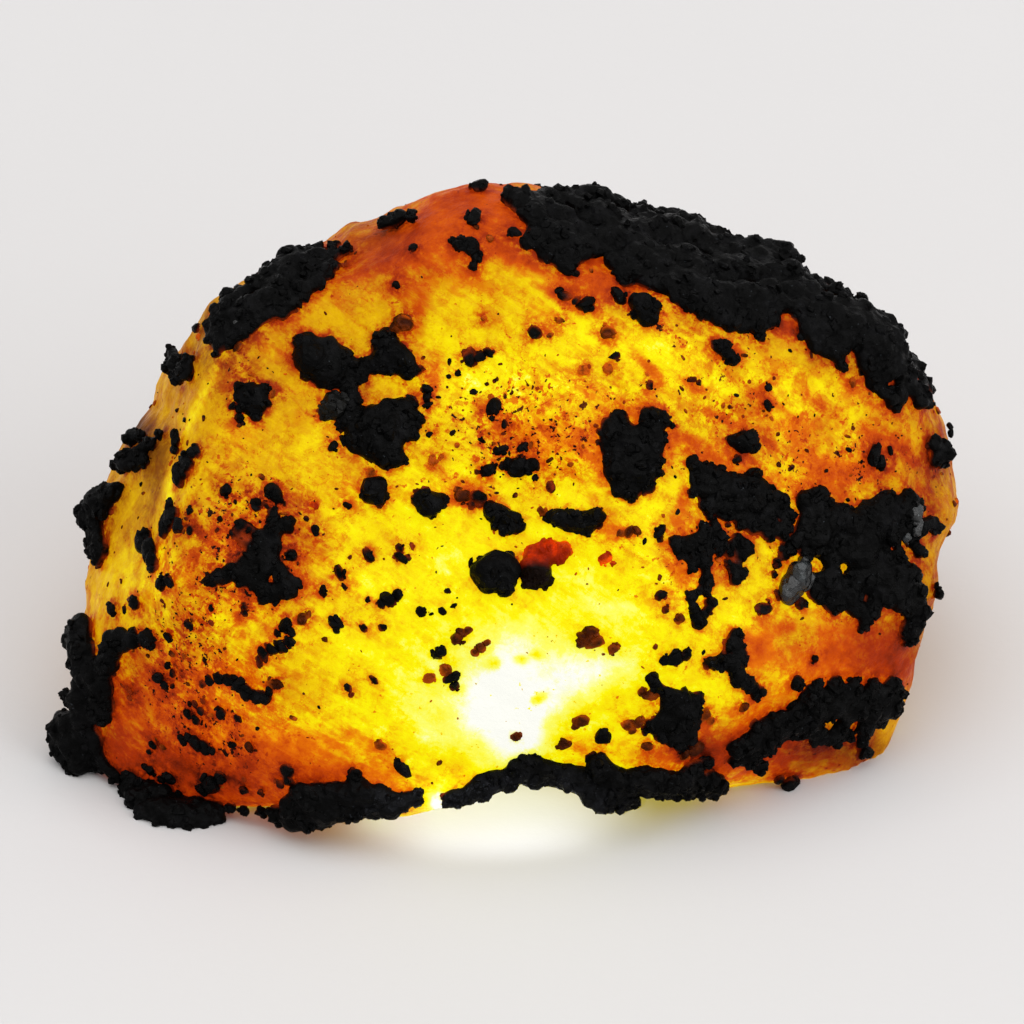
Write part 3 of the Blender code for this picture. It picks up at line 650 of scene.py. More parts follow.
def columns(lumps: list[Lump]) -> tuple[Array, ...]:
    """The lumps' middles, outward directions and radii, as three arrays."""
    return tuple(np.array(column) for column in zip(*lumps))


def gap_to(points: Array, lumps: list[Lump]) -> Array:
    """How far each point is from the nearest lump's edge, in mm, below 0 inside it.

    Args:
        points: Places in mm, one row each.
        lumps: The lumps.

    Returns:
        The least distance to a middle less that lump's radius, for each point.
    """
    nearest = np.full(len(points), FAR_OFF)
    for middle, _, radius in lumps:
        nearest = np.minimum(nearest, np.linalg.norm(points - middle, axis=1) - radius)
    return nearest


@dataclass(frozen=True)
class Zone:
    """An oval of the front face, in drawing units, in which something grows stronger."""

    right: float
    down: float
    width: float
    height: float
    turn: float
    amount: float

    def strength(self, across: Array, up: Array) -> Array:
        """amount * exp(-(x/width)^2 - (y/height)^2), with x and y turned by the oval's turn.

        Args:
            across: Where each point lies across the plane of marks, in mm.
            up: Where each point lies up that plane, in mm.

        Returns:
            The zone's strength at each point.
        """
        centre = Mark.drawn(self.right, self.down, 0.0)
        side, rise = across - centre.across, up - centre.up
        turn = math.radians(self.turn)
        along = side * math.cos(turn) - rise * math.sin(turn)
        over = side * math.sin(turn) + rise * math.cos(turn)
        return self.amount * np.exp(
            -((along * UNITS_PER_MM / self.width) ** 2) - (over * UNITS_PER_MM / self.height) ** 2
        )


def zones(*rows: tuple[float, ...]) -> tuple[Zone, ...]:
    """Zones from rows of (right, down, width, height, turn, amount)."""
    return tuple(Zone(*row) for row in rows)


# Iron-stained parts of the front, orange to red. A zone is (right, down, width, height, turn,
# amount), with its place and size in drawing units and its turn in degrees.
RUST_ZONES = zones(
    (430, 240, 112, 42, -8, 0.95), (480, 200, 60, 26, 0, 0.8), (300, 330, 70, 40, -25, 0.3),
    (250, 368, 46, 36, 0, 0.12), (252, 424, 24, 14, 0, 0.25), (340, 472, 44, 30, 0, 0.26),
    (560, 330, 50, 22, 20, 0.3), (600, 285, 50, 20, 15, 1.0), (788, 328, 16, 16, 0, 1.1),
    (760, 362, 60, 24, 25, 0.25), (870, 424, 60, 40, 0, 0.3), (820, 475, 64, 25, 0, 0.7),
    (918, 500, 28, 80, 0, 0.4), (600, 402, 50, 22, 0, 0.5), (552, 440, 62, 28, 8, 0.9),
    (850, 648, 74, 36, 0, 1.0), (800, 668, 50, 25, 0, 0.4), (800, 755, 70, 30, 0, 0.6),
    (225, 785, 170, 40, 5, 1.0), (300, 745, 90, 24, 0, 0.6), (150, 705, 58, 60, 0, 0.75),
    (200, 690, 50, 40, 0, 0.4), (250, 550, 55, 50, 0, 0.6), (757, 646, 14, 15, 0, 1.3),
    (784, 628, 9, 9, 0, 0.8), (728, 752, 48, 30, 0, 0.8), (380, 262, 34, 14, -20, 0.4),
    (465, 497, 26, 14, 0, 0.7), (712, 458, 34, 14, 10, 0.6), (756, 712, 26, 16, 0, 0.6),
    (900, 672, 26, 24, 0, 0.7), (648, 752, 30, 12, 0, 0.5), (690, 752, 28, 14, 0, 0.6),
    (612, 466, 30, 26, 0, 0.4), (245, 695, 56, 50, 0, 0.4), (355, 784, 40, 14, 0, 0.6),
    (684, 566, 18, 30, 0, 0.6), (718, 560, 26, 24, 0, 0.5), (715, 530, 30, 16, 0, 0.5),
    (684, 568, 18, 22, 0, 0.3), (792, 712, 20, 14, 0, 0.5), (576, 748, 26, 12, 0, 0.45),
    (290, 566, 24, 46, 0, 0.3), (792, 424, 26, 18, 0, 0.45), (360, 782, 30, 14, 0, 0.5),
    (756, 640, 26, 20, 0, 0.3), (180, 568, 24, 26, 0, 0.35), (178, 690, 36, 30, 0, -0.35),
    (576, 532, 20, 12, 0, 0.4), (612, 532, 20, 12, 0, 0.4), (612, 462, 18, 20, 0, 0.3),
    (790, 636, 24, 16, 0, -0.45), (362, 777, 28, 10, 0, 0.5), (648, 418, 22, 14, 0, 0.4),
    (466, 487, 22, 14, 0, 0.4), (775, 432, 44, 18, 20, 0.35), (305, 742, 60, 16, 0, 0.35),
    (244, 440, 22, 22, 0, 0.2), (243, 389, 24, 12, 0, -0.2), (328, 462, 46, 58, 20, -0.15),
)
# Narrow red-brown veins of the front, running down to the right.
VEIN_ZONES = zones(
    (646, 368, 26, 5, 50, 1.0), (606, 342, 14, 4, 30, 0.8), (560, 300, 26, 4, 28, 0.7),
    (530, 266, 20, 4, 32, 0.8), (507, 258, 16, 5, 40, 0.7), (690, 440, 24, 7, 15, 0.7),
    (722, 420, 30, 5, 25, 0.8), (690, 386, 16, 4, 30, 0.8), (764, 400, 30, 6, 30, 0.6),
    (840, 470, 40, 8, 10, 0.8), (884, 440, 30, 9, 20, 0.6), (812, 400, 26, 6, 35, 0.5),
    (858, 396, 30, 5, 28, 0.5), (668, 452, 8, 22, 0, 0.6), (628, 533, 16, 5, 5, 0.7),
    (680, 500, 6, 26, 8, 0.5), (418, 320, 8, 34, 12, 0.5), (436, 380, 6, 30, 8, 0.7),
    (402, 236, 50, 5, -6, 0.5), (420, 262, 44, 4, 24, 0.5), (360, 480, 30, 7, -30, 0.2),
    (300, 420, 7, 30, 10, 0.4),
)
# Painted light and shade on the front: parts whose painted glow is lighter or darker than their
# distance from the lamp makes it, with narrow painted highlights along ridges.
LIGHT_ZONES = zones(
    (438, 802, 13, 18, 0, 0.26), (505, 640, 46, 20, 0, 0.05), (592, 668, 36, 24, 0, 0.10),
    (538, 697, 10, 5, -35, -0.16), (537, 653, 6, 4, 0, -0.12), (494, 662, 6, 5, 0, -0.12),
    (521, 658, 6, 4, 0, -0.12), (560, 725, 26, 12, 10, -0.07), (480, 742, 20, 14, 0, -0.05),
    (600, 706, 34, 10, -25, -0.05), (640, 350, 80, 32, 20, 0.14), (540, 290, 80, 42, 10, 0.08),
    (450, 310, 60, 40, 0, 0.04), (750, 385, 120, 60, 20, 0.08), (630, 590, 60, 40, 0, 0.05),
    (132, 580, 40, 42, 0, 0.10), (385, 250, 70, 34, -16, -0.10), (420, 240, 110, 40, -10, -0.03),
    (470, 195, 60, 25, 0, -0.04), (250, 370, 60, 50, 0, -0.08), (335, 470, 50, 40, 0, -0.09),
    (250, 545, 70, 60, 0, -0.12), (300, 690, 60, 30, 0, -0.06), (240, 775, 180, 38, 6, -0.32),
    (150, 700, 50, 60, 0, -0.20), (880, 645, 60, 34, 0, -0.22), (810, 650, 56, 24, 0, -0.08),
    (540, 440, 60, 30, 10, -0.08), (600, 285, 40, 18, 20, -0.18), (788, 328, 14, 14, 0, -0.22),
    (925, 540, 30, 100, 0, -0.10), (815, 752, 90, 30, 0, -0.36), (715, 742, 40, 26, 0, -0.16),
    (218, 372, 34, 5, 114, 0.14), (188, 428, 34, 5, 118, 0.16), (172, 482, 34, 5, 95, 0.16),
    (164, 548, 40, 5, 98, 0.14), (168, 455, 60, 9, 110, -0.12), (150, 520, 60, 8, 100, -0.06),
    (757, 646, 11, 12, 0, -0.22), (784, 628, 8, 8, 0, -0.12), (728, 756, 44, 26, 0, -0.10),
    (380, 262, 34, 14, -20, -0.06), (150, 755, 30, 30, 0, 0.10), (880, 420, 40, 30, 0, 0.04),
    (150, 454, 26, 18, 0, -0.22), (142, 424, 20, 16, 0, -0.16), (216, 312, 20, 20, 0, -0.14),
    (108, 515, 20, 36, 0, -0.08), (470, 350, 50, 26, 0, 0.05), (436, 500, 30, 20, 0, 0.05),
    (245, 695, 56, 40, 0, -0.05), (150, 700, 40, 40, 0, 0.05), (684, 566, 18, 30, 0, -0.07),
    (718, 560, 26, 24, 0, -0.07), (715, 530, 30, 16, 0, -0.07), (516, 374, 90, 26, 0, 0.10),
    (810, 388, 60, 22, 10, 0.10), (576, 392, 30, 16, 0, 0.04), (465, 497, 24, 12, 0, -0.16),
    (545, 262, 40, 12, 20, -0.10), (712, 458, 34, 14, 10, -0.08), (756, 712, 26, 16, 0, -0.08),
    (900, 672, 26, 24, 0, -0.14), (648, 752, 24, 10, 0, -0.16), (690, 752, 26, 14, 0, -0.22),
    (288, 540, 30, 30, 0, -0.07), (396, 782, 30, 18, 0, 0.10), (160, 792, 60, 12, 6, -0.12),
    (947, 480, 14, 80, 0, 0.03), (132, 430, 14, 12, 0, -0.14), (504, 388, 34, 14, 0, 0.05),
    (684, 388, 26, 16, 0, 0.05), (648, 532, 20, 16, 0, 0.06), (648, 494, 20, 18, 0, 0.06),
    (684, 568, 18, 24, 0, -0.08), (722, 568, 20, 22, 0, -0.10), (684, 748, 24, 16, 0, -0.14),
    (792, 712, 20, 14, 0, -0.30), (576, 748, 26, 12, 0, -0.12), (648, 712, 22, 14, 0, -0.07),
    (290, 566, 24, 46, 0, -0.08), (140, 426, 20, 20, 0, -0.10), (540, 244, 30, 16, 20, -0.10),
    (936, 460, 16, 24, 0, -0.12), (324, 424, 22, 18, 0, 0.04), (828, 352, 26, 14, 30, -0.08),
    (252, 570, 18, 14, 0, 0.08), (448, 242, 40, 20, 0, 0.05), (594, 282, 34, 12, 20, 0.09),
    (200, 745, 26, 16, 0, 0.06), (175, 690, 34, 30, 0, 0.05), (516, 566, 16, 12, 0, -0.12),
    (792, 388, 26, 18, 20, 0.05), (390, 346, 20, 14, 0, -0.16), (362, 390, 14, 12, 0, -0.14),
    (612, 460, 16, 22, 0, -0.07), (648, 420, 20, 14, 0, -0.07), (720, 530, 24, 14, 0, -0.08),
    (828, 748, 30, 14, 0, -0.08), (360, 778, 26, 10, 0, -0.04), (504, 776, 18, 7, 0, -0.10),
    (328, 462, 46, 58, 20, 0.06), (243, 389, 24, 14, 0, 0.07), (466, 487, 20, 12, 0, -0.07),
    (478, 404, 30, 22, 0, 0.07), (775, 432, 44, 18, 20, -0.04), (710, 394, 20, 44, -20, 0.05),
    (437, 226, 30, 14, 0, 0.06), (182, 452, 14, 22, 0, 0.06), (437, 484, 20, 14, 0, 0.06),
    (370, 550, 30, 16, 0, -0.05), (356, 612, 34, 18, 0, -0.05), (212, 614, 24, 20, 0, 0.05),
)
# Where small specks and stains are dense.
PEPPER_ZONES = zones(
    (250, 540, 70, 80, 0, 1.0), (540, 435, 80, 36, 10, 1.0), (180, 660, 50, 70, 0, 0.8),
    (520, 380, 90, 30, 0, 0.3), (245, 370, 40, 40, 0, 0.6), (820, 450, 120, 60, 10, 0.55),
    (700, 340, 110, 40, 30, 0.45), (680, 560, 60, 60, 0, 0.5), (640, 400, 90, 26, 10, 0.5),
    (230, 740, 90, 40, 0, 0.6), (450, 405, 60, 36, 0, 0.35), (480, 476, 70, 26, 0, 0.4),
)
# The darker part of the red-brown grain, where it has no painted glow.
DUSK_ZONE = Zone(535, 578, 25, 16, 0, 1.9)
# Dull, grooved skin near the left and upper rim.
TAN_ZONES = zones(
    (145, 480, 40, 110, 12, 0.5), (205, 330, 40, 50, 20, 0.5), (360, 230, 40, 25, 0, 0.3),
)


class Slot(str, Enum):
    """The record's material slots."""

    SAPPHIRE = "sapphire"
    BLACK_MATRIX = "black_matrix"
    RED_BROWN = "red_brown_grain"


Colour = tuple[float, float, float, float]
Stops = tuple[tuple[float, Colour], ...]
Socket = bpy.types.NodeSocket
Value = Union[bpy.types.NodeSocket, float, tuple]

NO_LIGHT = (0.0, 0.0, 0.0, 1.0)


def tint(red: float, green: float, blue: float) -> Colour:
    """A screen colour as linear light: ((c + 0.055) / 1.055)^2.4 above 0.04, or else c / 12.92.

    Args:
        red: The screen colour's red, from 0 to 255.
        green: Its green.
        blue: Its blue.

    Returns:
        Its red, green and blue as linear light from 0 to 1, and an opaque alpha.
    """
    channels = [
        share / 12.92 if share <= 0.04045 else ((share + 0.055) / 1.055) ** 2.4
        for share in (red / 255, green / 255, blue / 255)
    ]
    return (*channels, 1.0)


@dataclass(frozen=True)
class Cloud:
    """Cloudy noise: the blots' size in mm, and how detailed, rough and bent it is."""

    size: float
    detail: float = 4.0
    roughness: float = 0.55
    bend: float = 0.0


@dataclass(frozen=True)
class Ease:
    """A smooth step that goes from start at low to end at high."""

    low: float
    high: float
    start: float = 0.0
    end: float = 1.0


@dataclass(frozen=True)
class Patches:
    """Cloudy noise cut by a smooth step, drawn out into streaks if it has a stretch."""

    cloud: Cloud
    ease: Ease
    stretch: Triple | None = None
    turn: Triple = (0.0, 0.0, 0.0)


class Bench:
    """Puts nodes into one new material and joins them."""

    # Which sockets of a mix node carry its share, its two colours and its result.
    MIX_SHARE, MIX_FIRST, MIX_SECOND, MIX_RESULT = 0, 6, 7, 2

    def __init__(self, name: str) -> None:
        """Makes the material and keeps its shader and its coordinates in mm.

        Args:
            name: The material's name.
        """
        self.material = bpy.data.materials.new(name)
        self.material.use_nodes = True
        self.nodes = self.material.node_tree.nodes
        self.shader = self.nodes["Principled BSDF"]
        coordinates = self.nodes.new("ShaderNodeTexCoord")
        in_mm = self.nodes.new("ShaderNodeMapping")
        in_mm.inputs["Scale"].default_value = (1 / MM,) * 3
        self.join(coordinates.outputs["Object"], in_mm.inputs["Vector"])
        self.mm = in_mm.outputs["Vector"]

    def join(self, start: Value, end: Socket) -> None:
        """Links a socket to an input, or sets the input to a number or colour.

        Args:
            start: The socket, number or colour.
            end: The input.
        """
        if isinstance(start, bpy.types.NodeSocket):
            self.material.node_tree.links.new(start, end)
        else:
            end.default_value = start

    def stretched(self, scale: Triple, turn: Triple) -> Socket:
        """Coordinates turned and stretched, for streaks.

        Args:
            scale: How many times longer things get along each axis.
            turn: The turn about each axis, in degrees.

        Returns:
            The coordinates in mm.
        """
        node = self.nodes.new("ShaderNodeMapping")
        node.vector_type = "TEXTURE"
        node.inputs["Scale"].default_value = scale
        node.inputs["Rotation"].default_value = [math.radians(angle) for angle in turn]
        self.join(self.mm, node.inputs["Vector"])
        return node.outputs["Vector"]

    def noise(self, cloud: Cloud, where: Socket | None = None) -> Socket:
        """Cloudy noise.

        Args:
            cloud: What the noise is like.
            where: The coordinates, or None for the plain ones.

        Returns:
            The noise, from 0 to 1.
        """
        node = self.nodes.new("ShaderNodeTexNoise")
        node.inputs["Scale"].default_value = 1.0 / cloud.size
        node.inputs["Detail"].default_value = cloud.detail
        node.inputs["Roughness"].default_value = cloud.roughness
        node.inputs["Distortion"].default_value = cloud.bend
        self.join(where or self.mm, node.inputs["Vector"])
        return node.outputs["Fac"]

    def cells(self, size: float) -> Socket:
        """Distance to the middle of the nearest random cell.

        Args:
            size: About how large the cells are, in mm.

        Returns:
            The distance, over the size.
        """
        node = self.nodes.new("ShaderNodeTexVoronoi")
        node.inputs["Scale"].default_value = 1.0 / size
        self.join(self.mm, node.inputs["Vector"])
        return node.outputs["Distance"]

    def attribute(self, name: str) -> Socket:
        """The numbers stored on the mesh.

        Args:
            name: The name they are stored under.

        Returns:
            The number at each point.
        """
        node = self.nodes.new("ShaderNodeAttribute")
        node.attribute_name = name
        return node.outputs["Fac"]

    def math(self, operation: str, *values: Value) -> Socket:
        """One step of arithmetic.

        Args:
            operation: Blender's name for it.
            values: One to three values.

        Returns:
            The result.
        """
        node = self.nodes.new("ShaderNodeMath")
        node.operation = operation
        for socket in node.inputs:
            socket.default_value = 0.0
        for value, socket in zip(values, node.inputs):
            self.join(value, socket)
        return node.outputs[0]

    def times(self, first: Value, second: Value) -> Socket:
        """first * second."""
        return self.math("MULTIPLY", first, second)

    def plus(self, first: Value, second: Value) -> Socket:
        """first + second."""
        return self.math("ADD", first, second)

    def times_plus(self, first: Value, second: Value, base: Value) -> Socket:
        """first * second + base."""
        return self.math("MULTIPLY_ADD", first, second, base)

    def swing(self, cloud: Cloud) -> Socket:
        """noise - 0.5, so that it swings to both sides of 0."""
        return self.math("SUBTRACT", self.noise(cloud), 0.5)

    def step(self, value: Value, ease: Ease) -> Socket:
        """A value taken through a smooth step.

        Args:
            value: The value.
            ease: The step.

        Returns:
            ease.start below ease.low, ease.end above ease.high, and a smooth way between them.
        """
        node = self.nodes.new("ShaderNodeMapRange")
        node.interpolation_type = "SMOOTHSTEP"
        node.inputs["From Min"].default_value = ease.low
        node.inputs["From Max"].default_value = ease.high
        node.inputs["To Min"].default_value = ease.start
        node.inputs["To Max"].default_value = ease.end
        self.join(value, node.inputs["Value"])
        return node.outputs["Result"]

    def patches(self, patches: Patches) -> Socket:
        """Cloudy noise cut by a smooth step.

        Args:
            patches: What they are like.

        Returns:
            How much of a patch there is, from the step's start to its end.
        """
        where = None
        if patches.stretch is not None:
            where = self.stretched(patches.stretch, patches.turn)
        return self.step(self.noise(patches.cloud, where), patches.ease)

    def ramp(self, value: Value, stops: Stops) -> Socket:
        """A colour for each value, blended between stops.

        Args:
            value: The value, from 0 to 1.
            stops: Values and their colours, in rising order.

        Returns:
            The colour.
        """
        node = self.nodes.new("ShaderNodeValToRGB")
        elements = node.color_ramp.elements
        while len(elements) < len(stops):
            elements.new(0.5)
        for element, (place, colour) in zip(elements, stops):
            element.position = place
            element.color = colour
        self.join(value, node.inputs["Fac"])
        return node.outputs["Color"]

    def blend(self, share: Value, first: Value, second: Value, way: str = "MIX") -> Socket:
        """Two colours mixed: first * (1 - share) + second * share, in the plain way.

        Args:
            share: How much of the second colour is taken.
            first: The first colour.
            second: The second colour.
            way: Blender's name for the way of mixing.

        Returns:
            The mixed colour.
        """
        node = self.nodes.new("ShaderNodeMix")
        node.data_type = "RGBA"
        node.blend_type = way
        self.join(share, node.inputs[self.MIX_SHARE])
        self.join(first, node.inputs[self.MIX_FIRST])
        self.join(second, node.inputs[self.MIX_SECOND])
        return node.outputs[self.MIX_RESULT]

    def bump(
        self, height: Value, distance: float, strength: float = 1.0, under: Socket | None = None
    ) -> Socket:
        """Small relief that only the light sees.

        Args:
            height: The height, from 0 to 1.
            distance: How many mm the height 1 stands for.
            strength: How much of it is used.
            under: Another bump that this one lies on.

        Returns:
            The bent normal.
        """
        node = self.nodes.new("ShaderNodeBump")
        node.inputs["Distance"].default_value = distance * MM
        node.inputs["Strength"].default_value = strength
        self.join(height, node.inputs["Height"])
        if under is not None:
            self.join(under, node.inputs["Normal"])
        return node.outputs["Normal"]

    def finish(self, **sockets: Value) -> bpy.types.Material:
        """Joins values to the shader's sockets.

        Args:
            sockets: Values by the socket's name, with _ for a space.

        Returns:
            The material.
        """
        for name, value in sockets.items():
            self.join(value, self.shader.inputs[name.replace("_", " ")])
        return self.material


@dataclass(frozen=True)
class SapphireFinish:
    """The stone with the lamp's light painted on as a glow: yellow to white where the lamp is near,
    orange and red far from it.

    The painted light stored on its points is changed by marks and then looked up in the colours. A
    mark's share is what it adds to the painted light, and its second number what it adds to the red
    of the stains and of the painted glow.
    """

    # Most of the colour is painted as a glow in the emission, glow of it, and skin of it is kept as
    # the base colour.
    glow: float = 0.84
    skin: float = 0.12
    # Colours of the painted glow by painted light: golden for clean skin, reddened for the stains and
    # the redder glow far from the lamp, dull for the tan skin.
    golden: Stops = (
        (0.00, tint(24, 8, 0)),
        (0.20, tint(84, 40, 2)),
        (0.42, tint(156, 90, 2)),
        (0.56, tint(204, 138, 0)),
        (0.70, tint(232, 180, 0)),
        (0.80, tint(250, 220, 0)),
        (0.89, tint(255, 246, 0)),
        (0.95, tint(255, 255, 110)),
        (1.00, tint(255, 255, 246)),
    )
    reddened: Stops = (
        (0.00, tint(22, 4, 0)),
        (0.20, tint(86, 18, 2)),
        (0.42, tint(164, 46, 2)),
        (0.56, tint(204, 76, 0)),
        (0.70, tint(230, 112, 0)),
        (0.80, tint(245, 156, 0)),
        (0.89, tint(254, 214, 0)),
        (0.95, tint(255, 248, 70)),
        (1.00, tint(255, 255, 240)),
    )
    dull: Stops = (
        (0.0, tint(34, 16, 8)),
        (0.4, tint(120, 76, 14)),
        (0.6, tint(192, 140, 14)),
        (0.8, tint(236, 204, 20)),
    )
    # Soft clouds, which fade where the light is strong and grow where pepper is dense.
    broad: Cloud = Cloud(3.0, 5.0, 0.6, 0.3)
    broad_share: float = 0.34
    fine: Cloud = Cloud(0.8, 7.0, 0.7)
    fine_share: float = 0.3
    crisp: Patches = Patches(Cloud(1.2, 8.0, 0.74, 0.2), Ease(0.43, 0.56, -0.5, 0.5))
    crisp_share: float = 0.07
    crisp_rust: float = -0.3
    streak: Patches = Patches(
        Cloud(0.9, 6.0, 0.66, 0.1), Ease(0.40, 0.60, -0.5, 0.5), (5.0, 1.0, 0.8), (0.0, 28.0, -22.0)
    )
    streak_share: float = 0.07
    streak_rust: float = -0.35
    groove: Patches = Patches(
        Cloud(1.2, 5.0, 0.6, 0.1), Ease(0.36, 0.62, -0.5, 0.5), (4.0, 1.0, 1.0), (0.0, 50.0, -123.0)
    )
    groove_share: float = 0.22
    calm: Ease = Ease(0.84, 0.98, 1.0, 0.14)
    calm_pepper: Pair = (0.55, 0.70)
    # Stains, which grow where pepper is dense.
    stain: Patches = Patches(Cloud(1.3, 8.0, 0.74, 0.3), Ease(0.47, 0.57))
    stain_pepper: Pair = (0.85, 0.10)
    stain_share: float = -0.17
    stain_rust: float = 0.6
    # Painted shade beside crusts, partly a red stain: darker and redder skin, broken up by a noise
    # and weaker where the painted light is strong.
    shade_breakup: Patches = Patches(Cloud(0.5, 6.0, 0.7), Ease(0.42, 0.58))
    shade_breakup_depth: Pair = (0.8, 0.2)
    halo_light: Ease = Ease(0.74, 0.9, 1.0, 0.25)
    halo_share: float = -0.30
    halo_reddening: float = 1.2
    # Specks: their noise is raised by a crowd, so that they are denser where pepper is.
    crowd: Cloud = Cloud(2.2, 4.0, 0.6)
    crowd_pepper: float = 0.62
    crowd_step: Ease = Ease(0.60, 1.02)
    crowd_lift: Pair = (0.12, -0.035)
    small_flecks: Patches = Patches(Cloud(0.28, 2.0, 0.5), Ease(0.715, 0.75))
    large_flecks: Patches = Patches(Cloud(0.75, 6.0, 0.64), Ease(0.69, 0.715))
    fleck_share: float = -0.60
    spots: Patches = Patches(Cloud(0.42, 4.0, 0.6), Ease(0.635, 0.67))
    spot_share: float = -0.13
    spot_rust: float = 0.6
    # Fine cracks, where a cloud passes through its middle value.
    crack: Cloud = Cloud(2.6, 6.0, 0.6)
    crack_step: Ease = Ease(0.0, 0.012, 1.0, 0.0)
    crack_share: float = -0.05
    crack_rust: float = 0.3
    # How the red of stains and of the painted glow shows: less where the painted light is strong.
    reddening_step: Ease = Ease(0.0, 1.0)
    reddening_light: Ease = Ease(0.88, 0.98, 1.0, 0.3)
    # Relief that only the light sees, and the sheen.
    coarse_relief: tuple[Cloud, float] = (Cloud(0.45, 6.0, 0.6), 0.16)
    fine_relief: tuple[Cloud, float] = (Cloud(0.12, 3.0, 0.6), 0.04)
    sheen: Patches = Patches(Cloud(0.9, 5.0), Ease(0.3, 0.7, 0.32, 0.6))
    shine: float = 0.025
    refraction: float = 1.76

    def crowded(self, bench: Bench, patches: Patches, crowd: Socket) -> Socket:
        """Patches that are denser where the crowd is."""
        return bench.step(bench.plus(bench.noise(patches.cloud), crowd), patches.ease)

    def make(self) -> bpy.types.Material:
        """Builds the finish.

        Returns:
            The material.
        """
        bench = Bench("lit_yellow_sapphire")
        light = bench.attribute("light")
        pepper = bench.attribute("pepper")
        tan = bench.attribute("tan")

        crisp = bench.patches(self.crisp)
        streak = bench.patches(self.streak)
        groove = bench.times(bench.patches(self.groove), tan)
        calm = bench.times_plus(pepper, *self.calm_pepper)
        calm = bench.times(bench.step(light, self.calm), calm)
        change = bench.times(bench.swing(self.fine), self.fine_share)
        change = bench.times_plus(bench.swing(self.broad), self.broad_share, change)
        change = bench.times_plus(crisp, self.crisp_share, change)
        change = bench.times_plus(streak, self.streak_share, change)
        change = bench.times_plus(groove, self.groove_share, change)

        stain = bench.times_plus(pepper, *self.stain_pepper)
        stain = bench.times(bench.patches(self.stain), stain)
        # Painted shade beside the crusts.
        halo = bench.times_plus(bench.patches(self.shade_breakup), *self.shade_breakup_depth)
        halo = bench.times(bench.attribute("shade"), halo)
        halo = bench.times(halo, bench.step(light, self.halo_light))

        crowd = bench.times_plus(pepper, self.crowd_pepper, bench.noise(self.crowd))
        crowd = bench.times_plus(bench.step(crowd, self.crowd_step), *self.crowd_lift)
        flecks = bench.math(
            "MAXIMUM",
            self.crowded(bench, self.small_flecks, crowd),
            self.crowded(bench, self.large_flecks, crowd),
        )
        spots = self.crowded(bench, self.spots, crowd)
        crack = bench.math("ABSOLUTE", bench.swing(self.crack))
        crack = bench.times(bench.step(crack, self.crack_step), calm)

        value = bench.times_plus(change, calm, light)
        for mark, share in (
            (stain, self.stain_share),
            (halo, self.halo_share),
            (flecks, self.fleck_share),
            (spots, self.spot_share),
            (crack, self.crack_share),
        ):
            value = bench.times_plus(mark, share, value)
        # How red the colour is: from stains and marks, and from the painted shade beside crusts and
        # the redder painted glow far from the lamp.
        stain_and_glow_red = bench.plus(bench.attribute("stain_and_glow_red"), bench.times(stain, self.stain_rust))
        for mark, share in (
            (halo, self.halo_reddening),
            (spots, self.spot_rust),
            (crack, self.crack_rust),
            (streak, self.streak_rust),
            (crisp, self.crisp_rust),
        ):
            stain_and_glow_red = bench.times_plus(mark, share, stain_and_glow_red)
        stain_and_glow_red = bench.times(bench.step(stain_and_glow_red, self.reddening_step), bench.step(light, self.reddening_light))

        colour = bench.blend(stain_and_glow_red, bench.ramp(value, self.golden), bench.ramp(value, self.reddened))
        colour = bench.blend(tan, colour, bench.ramp(value, self.dull))
        relief = None
        for cloud, distance in (self.coarse_relief, self.fine_relief):
            relief = bench.bump(bench.noise(cloud), distance, under=relief)
        return bench.finish(
            Base_Color=bench.blend(1.0, colour, (self.skin,) * 3 + (1.0,), "MULTIPLY"),
            Emission_Color=colour,
            Emission_Strength=self.glow,
            Roughness=bench.patches(self.sheen),
            Normal=relief,
            Specular_IOR_Level=self.shine,
            IOR=self.refraction,
        )


